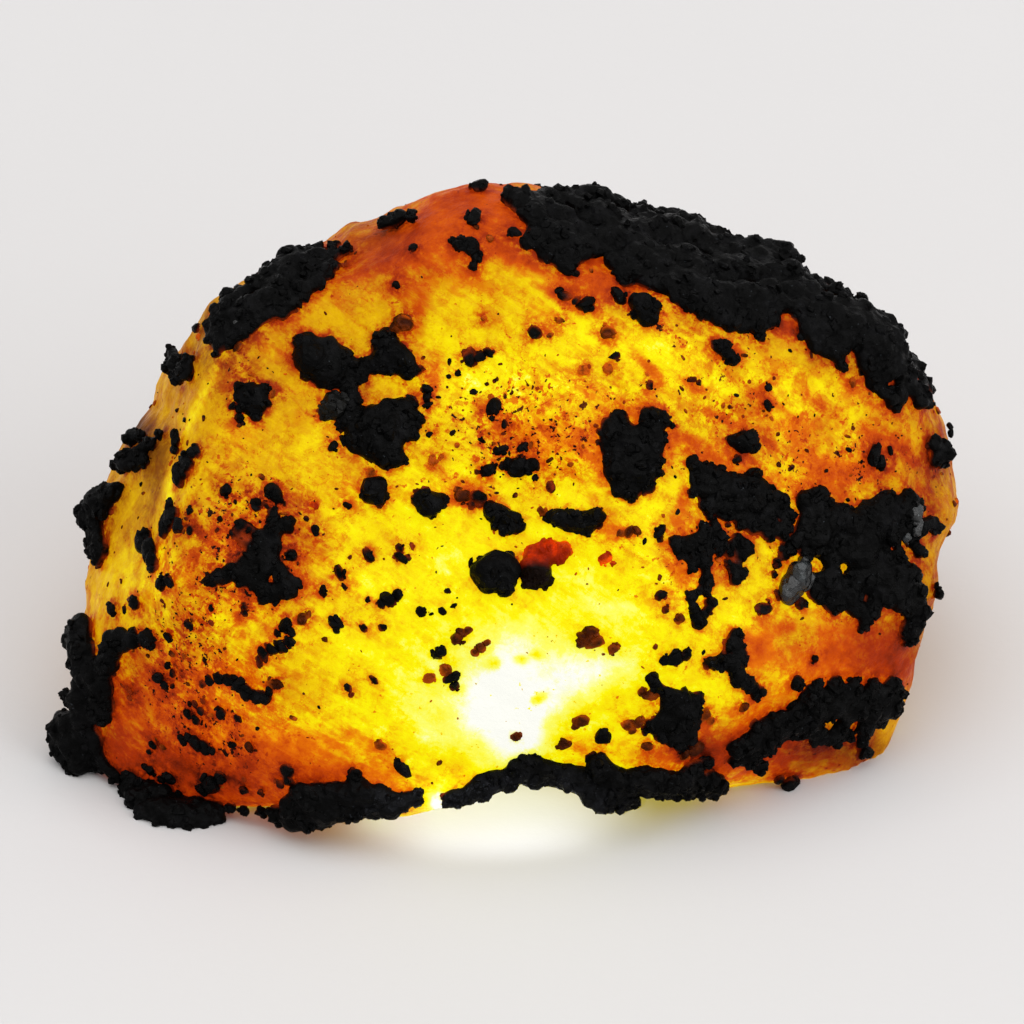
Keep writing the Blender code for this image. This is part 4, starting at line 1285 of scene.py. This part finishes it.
@dataclass(frozen=True)
class MatrixFinish:
    """Black matrix mineral: nearly black crystals with painted dull grey glints and brown-red thin
    rims.

    The rim is the part that lies less than rim_height mm over the stone, where light gets through;
    that light is painted in the base colour and as a glow in the emission.
    """

    name: str
    dark: Colour = tint(3, 3, 3)
    pale: Colour = tint(12, 12, 13)
    paler: Patches = Patches(Cloud(0.9, 6.0, 0.6), Ease(0.45, 0.75))
    # Painted glints: pale specks in the base colour that stand in for highlights.
    glint: Colour = tint(52, 56, 60)
    glints: Patches = Patches(Cloud(0.22, 5.0, 0.7), Ease(0.66, 0.72))
    # The thin rims, with the light through them painted as a glow of rim_strength.
    rim: Colour = tint(110, 34, 6)
    rims: Patches = Patches(Cloud(1.3, 4.0, 0.6), Ease(0.42, 0.62))
    rim_strength: float = 0.5
    rim_height: float = 0.28
    shine: float = 0.035
    rough: Pair = (0.22, 0.62)
    roughs: tuple[Cloud, float, float] = (Cloud(0.5, 3.0), 0.35, 0.65)
    facets: Pair = (0.34, 0.10)
    grain: tuple[Cloud, float] = (Cloud(0.14, 4.0, 0.65), 0.05)
    # A dusky piece glows with lit_through of its pale colour, as painted light through it, and has no
    # glow and the dusk colour where its dusk is.
    dusky: bool = False
    dusk: Colour = tint(14, 6, 4)
    lit_through: float = 0.35

    def make(self) -> bpy.types.Material:
        """Builds the finish.

        Returns:
            The material.
        """
        bench = Bench(self.name)
        height = bench.attribute("height")
        base = bench.blend(bench.patches(self.paler), self.dark, self.pale)
        # Painted glints.
        base = bench.blend(bench.patches(self.glints), base, self.glint)
        edge = bench.step(height, Ease(0.0, self.rim_height, 1.0, 0.0))
        edge = bench.times(edge, bench.patches(self.rims))
        base = bench.blend(edge, base, self.rim)
        # Painted glow of the light through the rims.
        glow = bench.blend(edge, NO_LIGHT, self.rim)
        # Painted glow through the grain, none in its dusky part.
        if self.dusky:
            dusk = bench.attribute("dusk")
            base = bench.blend(dusk, base, self.dusk)
            glow = bench.blend(dusk, bench.blend(self.lit_through, glow, self.pale), NO_LIGHT)
        cell_size, cell_height = self.facets
        grain, grain_height = self.grain
        relief = bench.bump(bench.cells(cell_size), cell_height)
        relief = bench.bump(bench.noise(grain), grain_height, under=relief)
        cloud, low, high = self.roughs
        return bench.finish(
            Base_Color=base,
            Emission_Color=glow,
            Emission_Strength=self.rim_strength,
            Roughness=bench.patches(Patches(cloud, Ease(low, high, *self.rough))),
            Normal=relief,
            Specular_IOR_Level=self.shine,
        )


@dataclass(frozen=True)
class Relief:
    """The fine relief of the stone's skin: noises as (size, height), growth steps and pits, in mm.

    The growth steps follow each other along climb and are bent by a noise. A pit is worked out as
    far as pit_reach times its width.
    """

    noises: tuple[Pair, ...] = ((3.2, 0.20), (1.3, 0.11), (0.6, 0.05))
    noise_seed: int = 40
    seed_step: int = 7
    climb: Triple = (0.42, -0.30, 0.86)
    bend: float = 0.9
    bend_size: float = 5.0
    bend_seed: int = 90
    step_length: float = 1.15
    step_height: float = 0.05
    pits: int = 260
    pit_seed: int = 11
    pit_widths: Pair = (0.25, 0.9)
    pit_depths: Pair = (0.04, 0.16)
    pit_reach: float = 2.5

    def height(self, points: Array) -> Array:
        """Height of the fine relief.

        It is noise of three sizes, growth steps of height * |part(climb / length) - 0.5|, a bent
        saw, and small round pits of -depth * exp(-(distance / width)^2).

        Args:
            points: Places on the smooth skin, in mm.

        Returns:
            The height in mm at each point.
        """
        total = np.zeros(len(points))
        for number, (size, height) in enumerate(self.noises):
            seed = self.noise_seed + self.seed_step * number
            total += height * two_octaves(points, size, seed)
        climb = points @ np.array(self.climb)
        climb += self.bend * two_octaves(points, self.bend_size, self.bend_seed)
        total += self.step_height * np.abs((climb / self.step_length) % 1.0 - 0.5)
        dice = np.random.default_rng(self.pit_seed)
        chosen = points[dice.integers(0, len(points), self.pits)]
        widths = dice.uniform(*self.pit_widths, self.pits)
        depths = dice.uniform(*self.pit_depths, self.pits)
        for centre, width, depth in zip(chosen, widths, depths):
            near = np.abs(points - centre).max(axis=1) < self.pit_reach * width
            away = np.linalg.norm(points[near] - centre, axis=1)
            total[near] -= depth * np.exp(-((away / width) ** 2))
        return total


@dataclass(frozen=True)
class Glow:
    """What the stone's points are told about the lamp's painted light, the veins and stains and the
    crusts.

    The painted light has each share at that distance from the lit spot, in mm. Skin in the far range
    of the spot is painted redder, as the glow far from the lamp, and a crust's painted shade reaches
    shade_width over the skin.
    """

    spot: Triple = (0.4, -11.6, 7.2)
    far: tuple[float, ...] = (0.0, 2.2, 3.3, 4.3, 5.6, 8.0, 12.0, 17.0, 22.0, 30.0, 42.0)
    share: tuple[float, ...] = (
        1.12, 1.05, 0.975, 0.925, 0.89, 0.865, 0.81, 0.725, 0.62, 0.50, 0.40,
    )
    vein_dark: float = 0.16
    vein_rust: float = 1.1
    far_reddening: float = 0.25
    far_range: Pair = (20.0, 34.0)
    reddening_most: float = 1.2
    shade_width: float = 0.28


@dataclass
class Stone:
    """The sapphire: its natural facets with the fine relief, dressed with the lamp's light painted on
    as a glow.

    Knobs only stand on skin further out to the front than knob_front, in mm. A lump's middle is at
    least clearance times its radius over the floor. Skin faces the front from facing's first
    number on, and does so fully from its second.
    """

    steps: int = 128
    edge_sharpness: float = 30.0
    half_lengths: Triple = (21.5, 14.0, 13.5)
    knob_front: float = -4.0
    foot_near: float = 2.0
    foot_out: float = 0.35
    clearance: float = 0.45
    facing: Pair = (-0.25, 0.15)
    relief: Relief = Relief()
    glow: Glow = Glow()
    points: Array = field(init=False)
    quads: Array = field(init=False)
    normals: Array = field(init=False)

    def reach(self, directions: Array) -> Array:
        """Distance from the heart to the facets.

        It is (sum over facets of (max(n.d, 0) / h)^p)^(-1/p), a smooth minimum, with the slow
        swells added: height * sin(2 pi (d.waves + phase)).

        Args:
            directions: Unit directions from the heart, one row each.

        Returns:
            The distance in mm along each direction.
        """
        normals = np.array([facet[0] for facet in FACETS.values()])
        normals /= np.linalg.norm(normals, axis=1, keepdims=True)
        distances = np.array([facet[1] for facet in FACETS.values()])
        closeness = np.maximum(directions @ normals.T, 0.0) / distances
        total = (closeness**self.edge_sharpness).sum(axis=1) ** (-1.0 / self.edge_sharpness)
        for waves, phase, height in SWELLS:
            total += height * np.sin(2 * math.pi * (directions @ np.array(waves) + phase))
        return total

    def smooth_points(self, directions: Array) -> Array:
        """Points of the skin before its fine relief: the facets less the hollows, with the knobs.

        A hollow or knob has the height exp(-(distance / width)^2) times its own.

        Args:
            directions: Unit directions from the heart, one row each.

        Returns:
            The point in mm along each direction.
        """
        points = HEART + directions * self.reach(directions)[:, None]
        depth = np.zeros(len(points))
        for centre, width, deepest in HOLLOWS.values():
            away = np.linalg.norm(points - np.array(centre), axis=1)
            depth += deepest * np.exp(-((away / width) ** 2))
        for drawn, height in KNOBS:
            knob = Mark.drawn(*drawn)
            away = np.hypot(points @ ACROSS - knob.across, points @ UP - knob.up)
            in_front = points @ OUT > self.knob_front
            depth -= height * np.exp(-((away / knob.radius) ** 2)) * in_front
        return points - directions * depth[:, None]

    def shape(self) -> None:
        """Works out the skin's points, flat where it rests, with its quads and normals."""
        directions, self.quads = cube_ball(self.steps)
        directions = directions * self.half_lengths
        directions /= np.linalg.norm(directions, axis=1, keepdims=True)
        points = self.smooth_points(directions)
        points += directions * self.relief.height(points)[:, None]
        ray = points - HEART
        to_floor = HEART[2] / np.maximum(-ray[:, 2], 1e-9)
        share = np.where(points[:, 2] < 0.0, to_floor, 1.0)
        self.points = HEART + ray * share[:, None]
        self.normals = normals_of(self.points, self.quads)

    def height_over(self, points: Array) -> Array:
        """How far points stand over the smooth skin, along the line from the heart.

        Args:
            points: Places in mm, one row each.

        Returns:
            The height in mm, below 0 inside the stone.
        """
        away = np.linalg.norm(points - HEART, axis=1)
        directions = (points - HEART) / away[:, None]
        return away - np.linalg.norm(self.smooth_points(directions) - HEART, axis=1)

    def foot(self, mark: Mark) -> Array:
        """The skin point that is nearest a mark on the plane and stands out to the front."""
        aside = (self.points @ ACROSS - mark.across) ** 2 + (self.points @ UP - mark.up) ** 2
        return self.points[np.argmin(aside * self.foot_near - (self.points @ OUT) * self.foot_out)]

    def at_mark(self, mark: Mark, lift: float) -> Lump:
        """A lump whose middle lies on the mark.

        One that would sink into the floor is moved towards the viewer until it stands on it.

        Args:
            mark: The mark.
            lift: How far the middle stands out from the skin, over the radius.

        Returns:
            The lump.
        """
        foot = self.foot(mark)
        outward = (foot - HEART) / np.linalg.norm(foot - HEART)
        shift = ACROSS * (mark.across - foot @ ACROSS) + UP * (mark.up - foot @ UP)
        middle = foot + outward * mark.radius * lift + shift
        sunk = max(0.0, mark.radius * self.clearance - middle[2])
        return Lump(middle + OUT * (sunk / OUT[2]), outward, mark.radius)

    def at_place(self, place: Array, radius: float, lift: float) -> Lump:
        """A lump on a skin point, whose middle stands out by this share of its radius."""
        outward = (place - HEART) / np.linalg.norm(place - HEART)
        return Lump(place + outward * radius * lift, outward, radius)

    def zone_sum(self, found: tuple[Zone, ...]) -> Array:
        """The zones' strengths added up, for the parts that face the front.

        Args:
            found: The zones.

        Returns:
            Their sum at each point, fading to 0 where the skin turns away from the front.
        """
        facing = smooth_step(self.normals @ OUT, *self.facing)
        across, up = self.points @ ACROSS, self.points @ UP
        return facing * sum((zone.strength(across, up) for zone in found), np.zeros(len(across)))

    def dress(self, lumps: list[Lump]) -> None:
        """Places the stone, with its painted light, stains and painted shade stored on its points.

        The light falls with the distance from the lit spot along given steps, zones add to it
        or take from it, and the shade is exp(-(distance to the nearest lump) / width).

        Args:
            lumps: The lumps that shade the skin.
        """
        glow = self.glow
        away = np.linalg.norm(self.points - np.array(glow.spot), axis=1)
        veins = self.zone_sum(VEIN_ZONES)
        light = np.interp(away, glow.far, glow.share) + self.zone_sum(LIGHT_ZONES)
        # Red of the stains and veins, and of the painted glow far from the lamp.
        stain_and_glow_red = self.zone_sum(RUST_ZONES) + glow.vein_rust * veins
        stain_and_glow_red += glow.far_reddening * smooth_step(away, *glow.far_range)
        shade = np.exp(-np.maximum(gap_to(self.points, lumps), 0.0) / glow.shade_width)
        mesh = new_mesh("sapphire", self.points, self.quads)
        set_attribute(mesh, "light", light - glow.vein_dark * veins)
        set_attribute(mesh, "pepper", np.clip(self.zone_sum(PEPPER_ZONES), 0.0, 1.0))
        set_attribute(mesh, "stain_and_glow_red", np.clip(stain_and_glow_red, 0.0, glow.reddening_most))
        set_attribute(mesh, "tan", np.clip(self.zone_sum(TAN_ZONES), 0.0, 1.0))
        set_attribute(mesh, "shade", shade)
        finish = SapphireFinish().make()
        Piece("sapphire_stone", mesh, finish, Slot.SAPPHIRE.value, ("sapphire",)).place()


@dataclass
class Crust:
    """One crust of matrix mineral: lumps on the skin, each covered with small angular crystals.

    Lifts are how far a lump's middle stands out from the skin, over its radius. The other lengths
    are in mm. The crystals' sizes and reach, and the radii of the lumps that face away, go from a
    least to a most.
    """

    node: str
    finish: bpy.types.Material
    stone: Stone
    seed: int
    crystals_a_mm: float = 22.5
    crystal_sizes: Pair = (0.12, 0.38)
    crystal_lean: float = 0.5
    crystal_most: float = 0.7
    crystal_reach: Pair = (0.84, 1.0)
    crystal_sunk: float = 0.4
    growth: float = 1.06
    lift: float = 0.2
    back_lift: float = -0.4
    back_spacing: float = 0.8
    back_radii: Pair = (0.5, 0.85)
    back_reach: Pair = (0.62, 0.75)
    back_noise: float = 2.4
    back_overlap: float = 0.3
    back_facing: float = -0.03
    back_low: float = 1.0
    margin: float = 0.3
    bridge_reach: Pair = (0.5, 1.15)
    bridge_size: float = 0.86
    voxel: float = 0.155
    grain: float = 0.03
    grain_size: float = 0.36

    def lumps(self) -> list[Lump]:
        """The drawn lumps and those that face away.

        Returns:
            All of the crust's lumps.
        """
        marks = [Mark.drawn(*mark) for mark in DRAWN_LUMPS[self.node]]
        front = [self.stone.at_mark(mark, self.lift) for mark in marks]
        return front + self.lumps_behind(front)

    def lumps_behind(self, front: list[Lump]) -> list[Lump]:
        """Lumps on the parts that face away, with a ragged edge.

        They lie where the distance to the nearest lump in front is under the spill times a noise,
        no further sideways or up than the front ones, at random places at least back_spacing apart.

        Args:
            front: The crust's lumps on the front.

        Returns:
            The lumps behind them.
        """
        skin = self.stone.points
        gap = gap_to(skin, front)
        always, ragged = self.back_reach
        noise = two_octaves(skin, self.back_noise, self.seed)
        reach = SPILLS.get(self.node, 0.0) * (always + ragged * noise)
        hidden = (self.stone.normals @ OUT < self.back_facing) & (skin[:, 2] > self.back_low)
        for axis in (ACROSS, UP):
            along = np.array([lump.middle @ axis for lump in front])
            hidden &= (skin @ axis > along.min() + self.margin) & (skin @ axis < along.max())
        candidates = np.flatnonzero((gap < reach) & (gap > -self.back_overlap) & hidden)
        dice = np.random.default_rng(self.seed + 3)
        found: list[Lump] = []
        places = np.empty((0, 3))
        for place in skin[dice.permutation(candidates)]:
            if np.any(np.linalg.norm(places - place, axis=1) < self.back_spacing):
                continue
            places = np.concatenate([places, place[None]])
            radius = dice.uniform(*self.back_radii)
            found.append(self.stone.at_place(place, radius, self.back_lift))
        return found

    def bridged(self, lumps: list[Lump]) -> tuple[Array, Array, Array]:
        """The lumps with one more between every two that are near each other.

        Two lumps are near when their distance, over the sum of their radii, is within the reach of
        a bridge. The lump between them lies halfway and has bridge_size of their mean radius.

        Args:
            lumps: The lumps.

        Returns:
            All middles, outward directions and radii.
        """
        middles, outward, radii = columns(lumps)
        first, second = np.triu_indices(len(radii), 1)
        gap = np.linalg.norm(middles[first] - middles[second], axis=1)
        gap /= radii[first] + radii[second]
        near = (gap > self.bridge_reach[0]) & (gap < self.bridge_reach[1])
        first, second = first[near], second[near]
        between = outward[first] + outward[second]
        between /= np.linalg.norm(between, axis=1, keepdims=True)
        return (
            np.concatenate([middles, (middles[first] + middles[second]) / 2]),
            np.concatenate([outward, between]),
            np.concatenate([radii, (radii[first] + radii[second]) / 2 * self.bridge_size]),
        )

    def crystals(self, lumps: list[Lump]) -> tuple[Array, Array]:
        """The small flat-faced crystals on the lumps.

        A small crystal's middle lies at lump + radius * reach * direction, for random directions
        that lean outwards. Small ones are more common than large ones, by the square of a chance.

        Args:
            lumps: The lumps.

        Returns:
            The crystals' points in mm and their quads.
        """
        dice = np.random.default_rng(self.seed)
        middles, outward, radii = columns(lumps)
        owner = np.repeat(np.arange(len(radii)), np.ceil(radii * self.crystals_a_mm).astype(int))
        count = len(owner)
        lean = dice.normal(size=(count, 3)) + outward[owner] * self.crystal_lean
        lean /= np.linalg.norm(lean, axis=1, keepdims=True)
        low, high = self.crystal_sizes
        sizes = low + (high - low) * dice.uniform(0.0, 1.0, count) ** 2
        sizes = np.minimum(sizes, radii[owner] * self.crystal_most)
        reach = radii[owner] * dice.uniform(*self.crystal_reach, count) - sizes * self.crystal_sunk
        places = middles[owner] + lean * reach[:, None]
        small = Crystals(places, lean, sizes, steps=2, sharpness=40.0, flatness=1.1, stretch=0.3)
        return small.shells(self.seed + 2)

    def build(self, lumps: list[Lump]) -> bpy.types.Mesh:
        """The crust's mesh: lumps fused into one skin with a fine grain, and flat-faced crystals.

        The grain moves each point of the skin by noise along its normal.

        Args:
            lumps: The lumps.

        Returns:
            The mesh, with its height over the stone and its dusk stored on its points.
        """
        middles, outward, radii = self.bridged(lumps)
        radii = radii * self.growth
        big = Crystals(middles, outward, radii, steps=6, sharpness=26.0, flatness=0.85)
        skin, skin_quads = fused(*big.shells(self.seed + 1), self.voxel)
        grain = self.grain * two_octaves(skin, self.grain_size, self.seed)
        skin += normals_of(skin, skin_quads) * grain[:, None]
        small, small_quads = self.crystals(lumps)
        points = np.concatenate([skin, small])
        quads = np.concatenate([skin_quads, small_quads + len(skin)])
        points[:, 2] = np.maximum(points[:, 2], 0.0)
        mesh = new_mesh(self.node, points, quads, len(skin_quads))
        set_attribute(mesh, "height", self.stone.height_over(points))
        dusk = DUSK_ZONE.strength(points @ ACROSS, points @ UP)
        set_attribute(mesh, "dusk", np.clip(dusk, 0.0, 1.0))
        return mesh

    def make(self) -> list[Lump]:
        """Builds and places the crust.

        Returns:
            Its lumps.
        """
        lumps = self.lumps()
        slot = Slot.RED_BROWN if self.node == "red_grain" else Slot.BLACK_MATRIX
        mesh = self.build(lumps)
        Piece(f"{self.node}_crystals", mesh, self.finish, slot.value, (self.node,)).place()
        return lumps


@dataclass
class Grains:
    """Small grains of one mineral that lie on the skin, as one piece.

    A drawn grain has smaller satellites round it. Their distance and radius are over its own
    radius, and go from a least to a most.
    """

    name: str
    finish: bpy.types.Material
    slot: Slot
    stone: Stone
    seed: int
    lift: float = 0.1
    satellites: int = 5
    satellite_away: Pair = (0.6, 1.15)
    satellite_sizes: Pair = (0.22, 0.5)
    scatter_lift: float = 0.2
    growth: float = 1.1
    steps: int = 3
    stretch: float = 0.35
    sharpness: float = 40.0
    flatness: float = 0.75
    smooth: bool = False

    def at_marks(self, marks: tuple[Triple, ...]) -> list[Lump]:
        """A grain on each mark, with smaller ones round it, level with the skin.

        Args:
            marks: The marks, in drawing units.

        Returns:
            The grains.
        """
        dice = np.random.default_rng(self.seed)
        found = []
        for mark in marks:
            grain = self.stone.at_mark(Mark.drawn(*mark), self.lift)
            found.append(grain)
            for _ in range(self.satellites):
                lean = dice.normal(size=3)
                lean -= grain.outward * (lean @ grain.outward)
                lean /= np.linalg.norm(lean)
                place = grain.middle + lean * grain.radius * dice.uniform(*self.satellite_away)
                radius = grain.radius * dice.uniform(*self.satellite_sizes)
                found.append(Lump(place, lean, radius))
        return found

    def scattered(self, count: int, weights: Array, sizes: Pair) -> list[Lump]:
        """Grains on random skin points, the small ones more common by the cube of a chance.

        Args:
            count: How many there are.
            weights: How likely each point of the skin is.
            sizes: Their least and most radius, in mm.

        Returns:
            The grains.
        """
        dice = np.random.default_rng(self.seed + 5)
        skin = self.stone.points
        chosen = dice.choice(len(skin), count, replace=False, p=weights / weights.sum())
        low, high = sizes
        radii = low + (high - low) * dice.uniform(0.0, 1.0, count) ** 3
        outward = self.stone.normals[chosen]
        middles = skin[chosen] + outward * radii[:, None] * self.scatter_lift
        return [Lump(*row) for row in zip(middles, outward, radii)]

    def make(self, grains: list[Lump]) -> None:
        """Builds and places the grains.

        Args:
            grains: The grains.
        """
        middles, outward, radii = columns(grains)
        flakes = Crystals(
            middles, outward, radii * self.growth, self.steps, self.sharpness, self.flatness,
            self.stretch,
        )
        points, quads = flakes.shells(self.seed)
        points[:, 2] = np.maximum(points[:, 2], 0.0)
        mesh = new_mesh(self.name, points, quads, None if self.smooth else 0)
        set_attribute(mesh, "height", self.stone.height_over(points))
        Piece(self.name, mesh, self.finish, self.slot.value).place()


@dataclass(frozen=True)
class SoftBox:
    """A square soft light: its place and size in metres and its power in watts."""

    name: str
    place: Triple
    size: float
    power: float


@dataclass
class Studio:
    """The pale floor, the soft light and the camera, with places and sizes in metres.

    The lamp's light spills onto the floor as an oval with these half lengths, from a spot that
    stands lamp_away off. The camera sees view_width at the centre, through a lens in mm.
    """

    floor_half: float = 3.0
    floor_clouds: Cloud = Cloud(60.0, 3.0, 0.5)
    floor_dark: Colour = (0.475, 0.469, 0.468, 1.0)
    floor_pale: Colour = (0.50, 0.494, 0.492, 1.0)
    floor_grain: tuple[Cloud, float, float] = (Cloud(0.8, 5.0, 0.6), 0.04, 0.4)
    sky: Colour = (1.0, 0.985, 0.985, 1.0)
    sky_strength: float = 0.84
    boxes: tuple[SoftBox, ...] = (
        SoftBox("soft_box", (-0.1, -0.1, 0.9), 1.2, 8.0),
        SoftBox("right_fill", (0.55, -0.32, 0.35), 0.6, 3.0),
    )
    faced: Triple = (0.0, 0.0, 0.01)
    lamp_place: Triple = (-0.0007, -0.0116, 0.0)
    lamp_half: Pair = (0.0088, 0.0027)
    lamp_away: float = 0.1
    lamp_power: float = 0.85
    lamp_colour: Triple = (0.80, 0.84, 1.0)
    lamp_radius: float = 0.0005
    centre: Triple = (0.0005, -0.00176, 0.01143)
    view_width: float = 0.0512
    lens: float = 600.0
    sensor: float = 36.0
    clip: Pair = (0.01, 20.0)

    def floor(self) -> None:
        """A wide floor with a faint unevenness."""
        half = self.floor_half / MM
        corners = ((-half, -half, 0.0), (half, -half, 0.0), (half, half, 0.0), (-half, half, 0.0))
        mesh = new_mesh("floor", np.array(corners), np.array(((0, 1, 2, 3),)))
        bench = Bench("pale_paper")
        grain, distance, strength = self.floor_grain
        paper = bench.finish(
            Base_Color=bench.blend(bench.noise(self.floor_clouds), self.floor_dark, self.floor_pale),
            Roughness=0.9,
            Normal=bench.bump(bench.noise(grain), distance, strength),
            Specular_IOR_Level=0.1,
        )
        mesh.materials.append(paper)
        item = new_object("floor", mesh)

    def lights(self) -> None:
        """Soft light from all round, the soft boxes, and the small lamp under the stone."""
        world = bpy.data.worlds.new("soft_room")
        bpy.context.scene.world = world
        world.use_nodes = True
        sky = world.node_tree.nodes["Background"]
        sky.inputs["Color"].default_value = self.sky
        sky.inputs["Strength"].default_value = self.sky_strength
        for box in self.boxes:
            light = bpy.data.lights.new(box.name, "AREA")
            light.size = box.size
            light.energy = box.power
            item = new_object(box.name, light)
            item.location = box.place
            self.aim(item, Vector(self.faced) - Vector(box.place))
        self.lamp()

    def aim(self, item: bpy.types.Object, direction: Vector) -> None:
        """Turns a light or a camera, which looks along its own -Z, to look along a direction."""
        item.rotation_mode = "QUATERNION"
        item.rotation_quaternion = direction.to_track_quat("-Z", "Y")

    def lamp(self) -> None:
        """The light that spills out through the arch: a soft oval on the floor at the stone's foot.

        The spot's cone is 2 atan(half width / distance) wide, and it is drawn out to the oval's
        length.
        """
        light = bpy.data.lights.new("spill", "SPOT")
        light.spot_size = 2.0 * math.atan(self.lamp_half[1] / self.lamp_away)
        light.spot_blend = 1.0
        light.shadow_soft_size = self.lamp_radius
        light.energy = self.lamp_power
        light.color = self.lamp_colour
        item = new_object("spill", light)
        item.location = Vector(self.lamp_place) + Vector(OUT) * self.lamp_away
        item.scale = (self.lamp_half[0] / self.lamp_half[1], 1.0, 1.0)
        item.visible_camera = False
        self.aim(item, -Vector(OUT))

    def camera(self) -> None:
        """A long-lens camera that faces the plane of marks, width * lens / sensor away from it."""
        data = bpy.data.cameras.new("camera")
        data.lens = self.lens
        data.sensor_width = self.sensor
        data.clip_start, data.clip_end = self.clip
        item = new_object("camera", data)
        away = self.view_width * self.lens / self.sensor
        item.location = Vector(self.centre) + Vector(OUT) * away
        self.aim(item, -Vector(OUT))
        bpy.context.scene.camera = item

    def build(self) -> None:
        """Builds all of it, with colours shown as they are."""
        self.floor()
        self.lights()
        self.camera()
        bpy.context.scene.view_settings.view_transform = "Standard"


@dataclass
class Matrix:
    """All the matrix mineral on one stone: the crusts and the grains, in their finishes.

    The close crust is the largest, and has fewer crystals a mm so that its mesh stays light. Specks
    are bare times as likely off the pepper zones as in the middle of one. Their sizes are in mm.
    """

    stone: Stone
    crust_seed: int = 100
    seed_step: int = 10
    close_crust: str = "top_crust"
    close_crystals_a_mm: float = 15.0
    bare: float = 0.12
    specks: int = 450
    brown_sizes: Pair = (0.05, 0.17)
    black_sizes: Pair = (0.05, 0.18)

    def make(self) -> list[Lump]:
        """Builds and places all of it.

        Returns:
            The lumps and drawn grains, which shade the skin beside them.
        """
        black = MatrixFinish("black_matrix").make()
        grey = MatrixFinish("grey_matrix", dark=tint(7, 7, 6), pale=tint(18, 18, 16), shine=0.1)
        brown = MatrixFinish(
            "brown_matrix",
            dark=tint(46, 14, 2),
            pale=tint(110, 44, 6),
            rim=tint(160, 66, 6),
            rim_height=0.5,
        ).make()
        red = MatrixFinish(
            "red_brown_matrix",
            dark=tint(90, 14, 2),
            pale=tint(196, 46, 2),
            rim=tint(226, 84, 4),
            rim_strength=0.8,
            rim_height=0.7,
            dusky=True,
        ).make()
        finishes = {"grey_crystal": grey.make(), "red_grain": red}
        lumps: list[Lump] = []
        for number, node in enumerate(DRAWN_LUMPS):
            seed = self.crust_seed + self.seed_step * number
            crust = Crust(node, finishes.get(node, black), self.stone, seed)
            if node == self.close_crust:
                crust.crystals_a_mm = self.close_crystals_a_mm
            lumps += crust.make()
        for name, finish, slot, marks, seed in (
            ("black_grains", black, Slot.BLACK_MATRIX, BLACK_GRAINS, 500),
            ("brown_grains", brown, Slot.RED_BROWN, BROWN_GRAINS, 520),
            ("red_grains", red, Slot.RED_BROWN, RED_GRAINS, 540),
        ):
            grains = Grains(name, finish, slot, self.stone, seed)
            drawn = grains.at_marks(marks)
            grains.make(drawn)
            lumps += drawn
        self.glossy()
        self.pepper(brown, black)
        return lumps

    def glossy(self) -> None:
        """Builds and places the glossy grey crystals, with painted highlights in their pale patches
        and glints and painted shade on their low edges.
        """
        finish = MatrixFinish(
            "glossy_grey_matrix",
            dark=tint(6, 7, 7),
            # Painted highlight: the pale patches and the glints.
            pale=tint(36, 42, 44),
            glint=tint(130, 138, 140),
            # Painted shade: the low edges take the dark rim colour.
            rim=tint(5, 5, 5),
            rim_height=0.9,
            rim_strength=0.0,
            shine=0.45,
            rough=(0.16, 0.34),
        ).make()
        crystals = Grains(
            "glossy_grey_crystals",
            finish,
            Slot.BLACK_MATRIX,
            self.stone,
            seed=580,
            lift=0.45,
            satellites=1,
            steps=6,
            stretch=0.1,
            sharpness=9.0,
            smooth=True,
        )
        crystals.make(crystals.at_marks(GREY_CRYSTALS))

    def pepper(self, brown: bpy.types.Material, black: bpy.types.Material) -> None:
        """Builds and places the brown and the black specks, denser in the pepper zones.

        Args:
            brown: The brown specks' material.
            black: The black specks' material.
        """
        weights = self.bare + np.clip(self.stone.zone_sum(PEPPER_ZONES), 0.0, 1.0)
        for name, finish, slot, sizes, seed in (
            ("pepper_grains", brown, Slot.RED_BROWN, self.brown_sizes, 560),
            ("black_pepper_grains", black, Slot.BLACK_MATRIX, self.black_sizes, 600),
        ):
            specks = Grains(name, finish, slot, self.stone, seed, steps=2, stretch=0.45)
            specks.make(specks.scattered(self.specks, weights, sizes))


def main() -> None:
    """Builds the stage, the crusts and grains, and the stone."""
    logging.basicConfig(level=logging.INFO, format="%(name)s %(message)s")
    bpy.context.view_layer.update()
    Studio().build()
    stone = Stone()
    stone.shape()
    stone.dress(Matrix(stone).make())


if __name__ == "__main__":
    main()
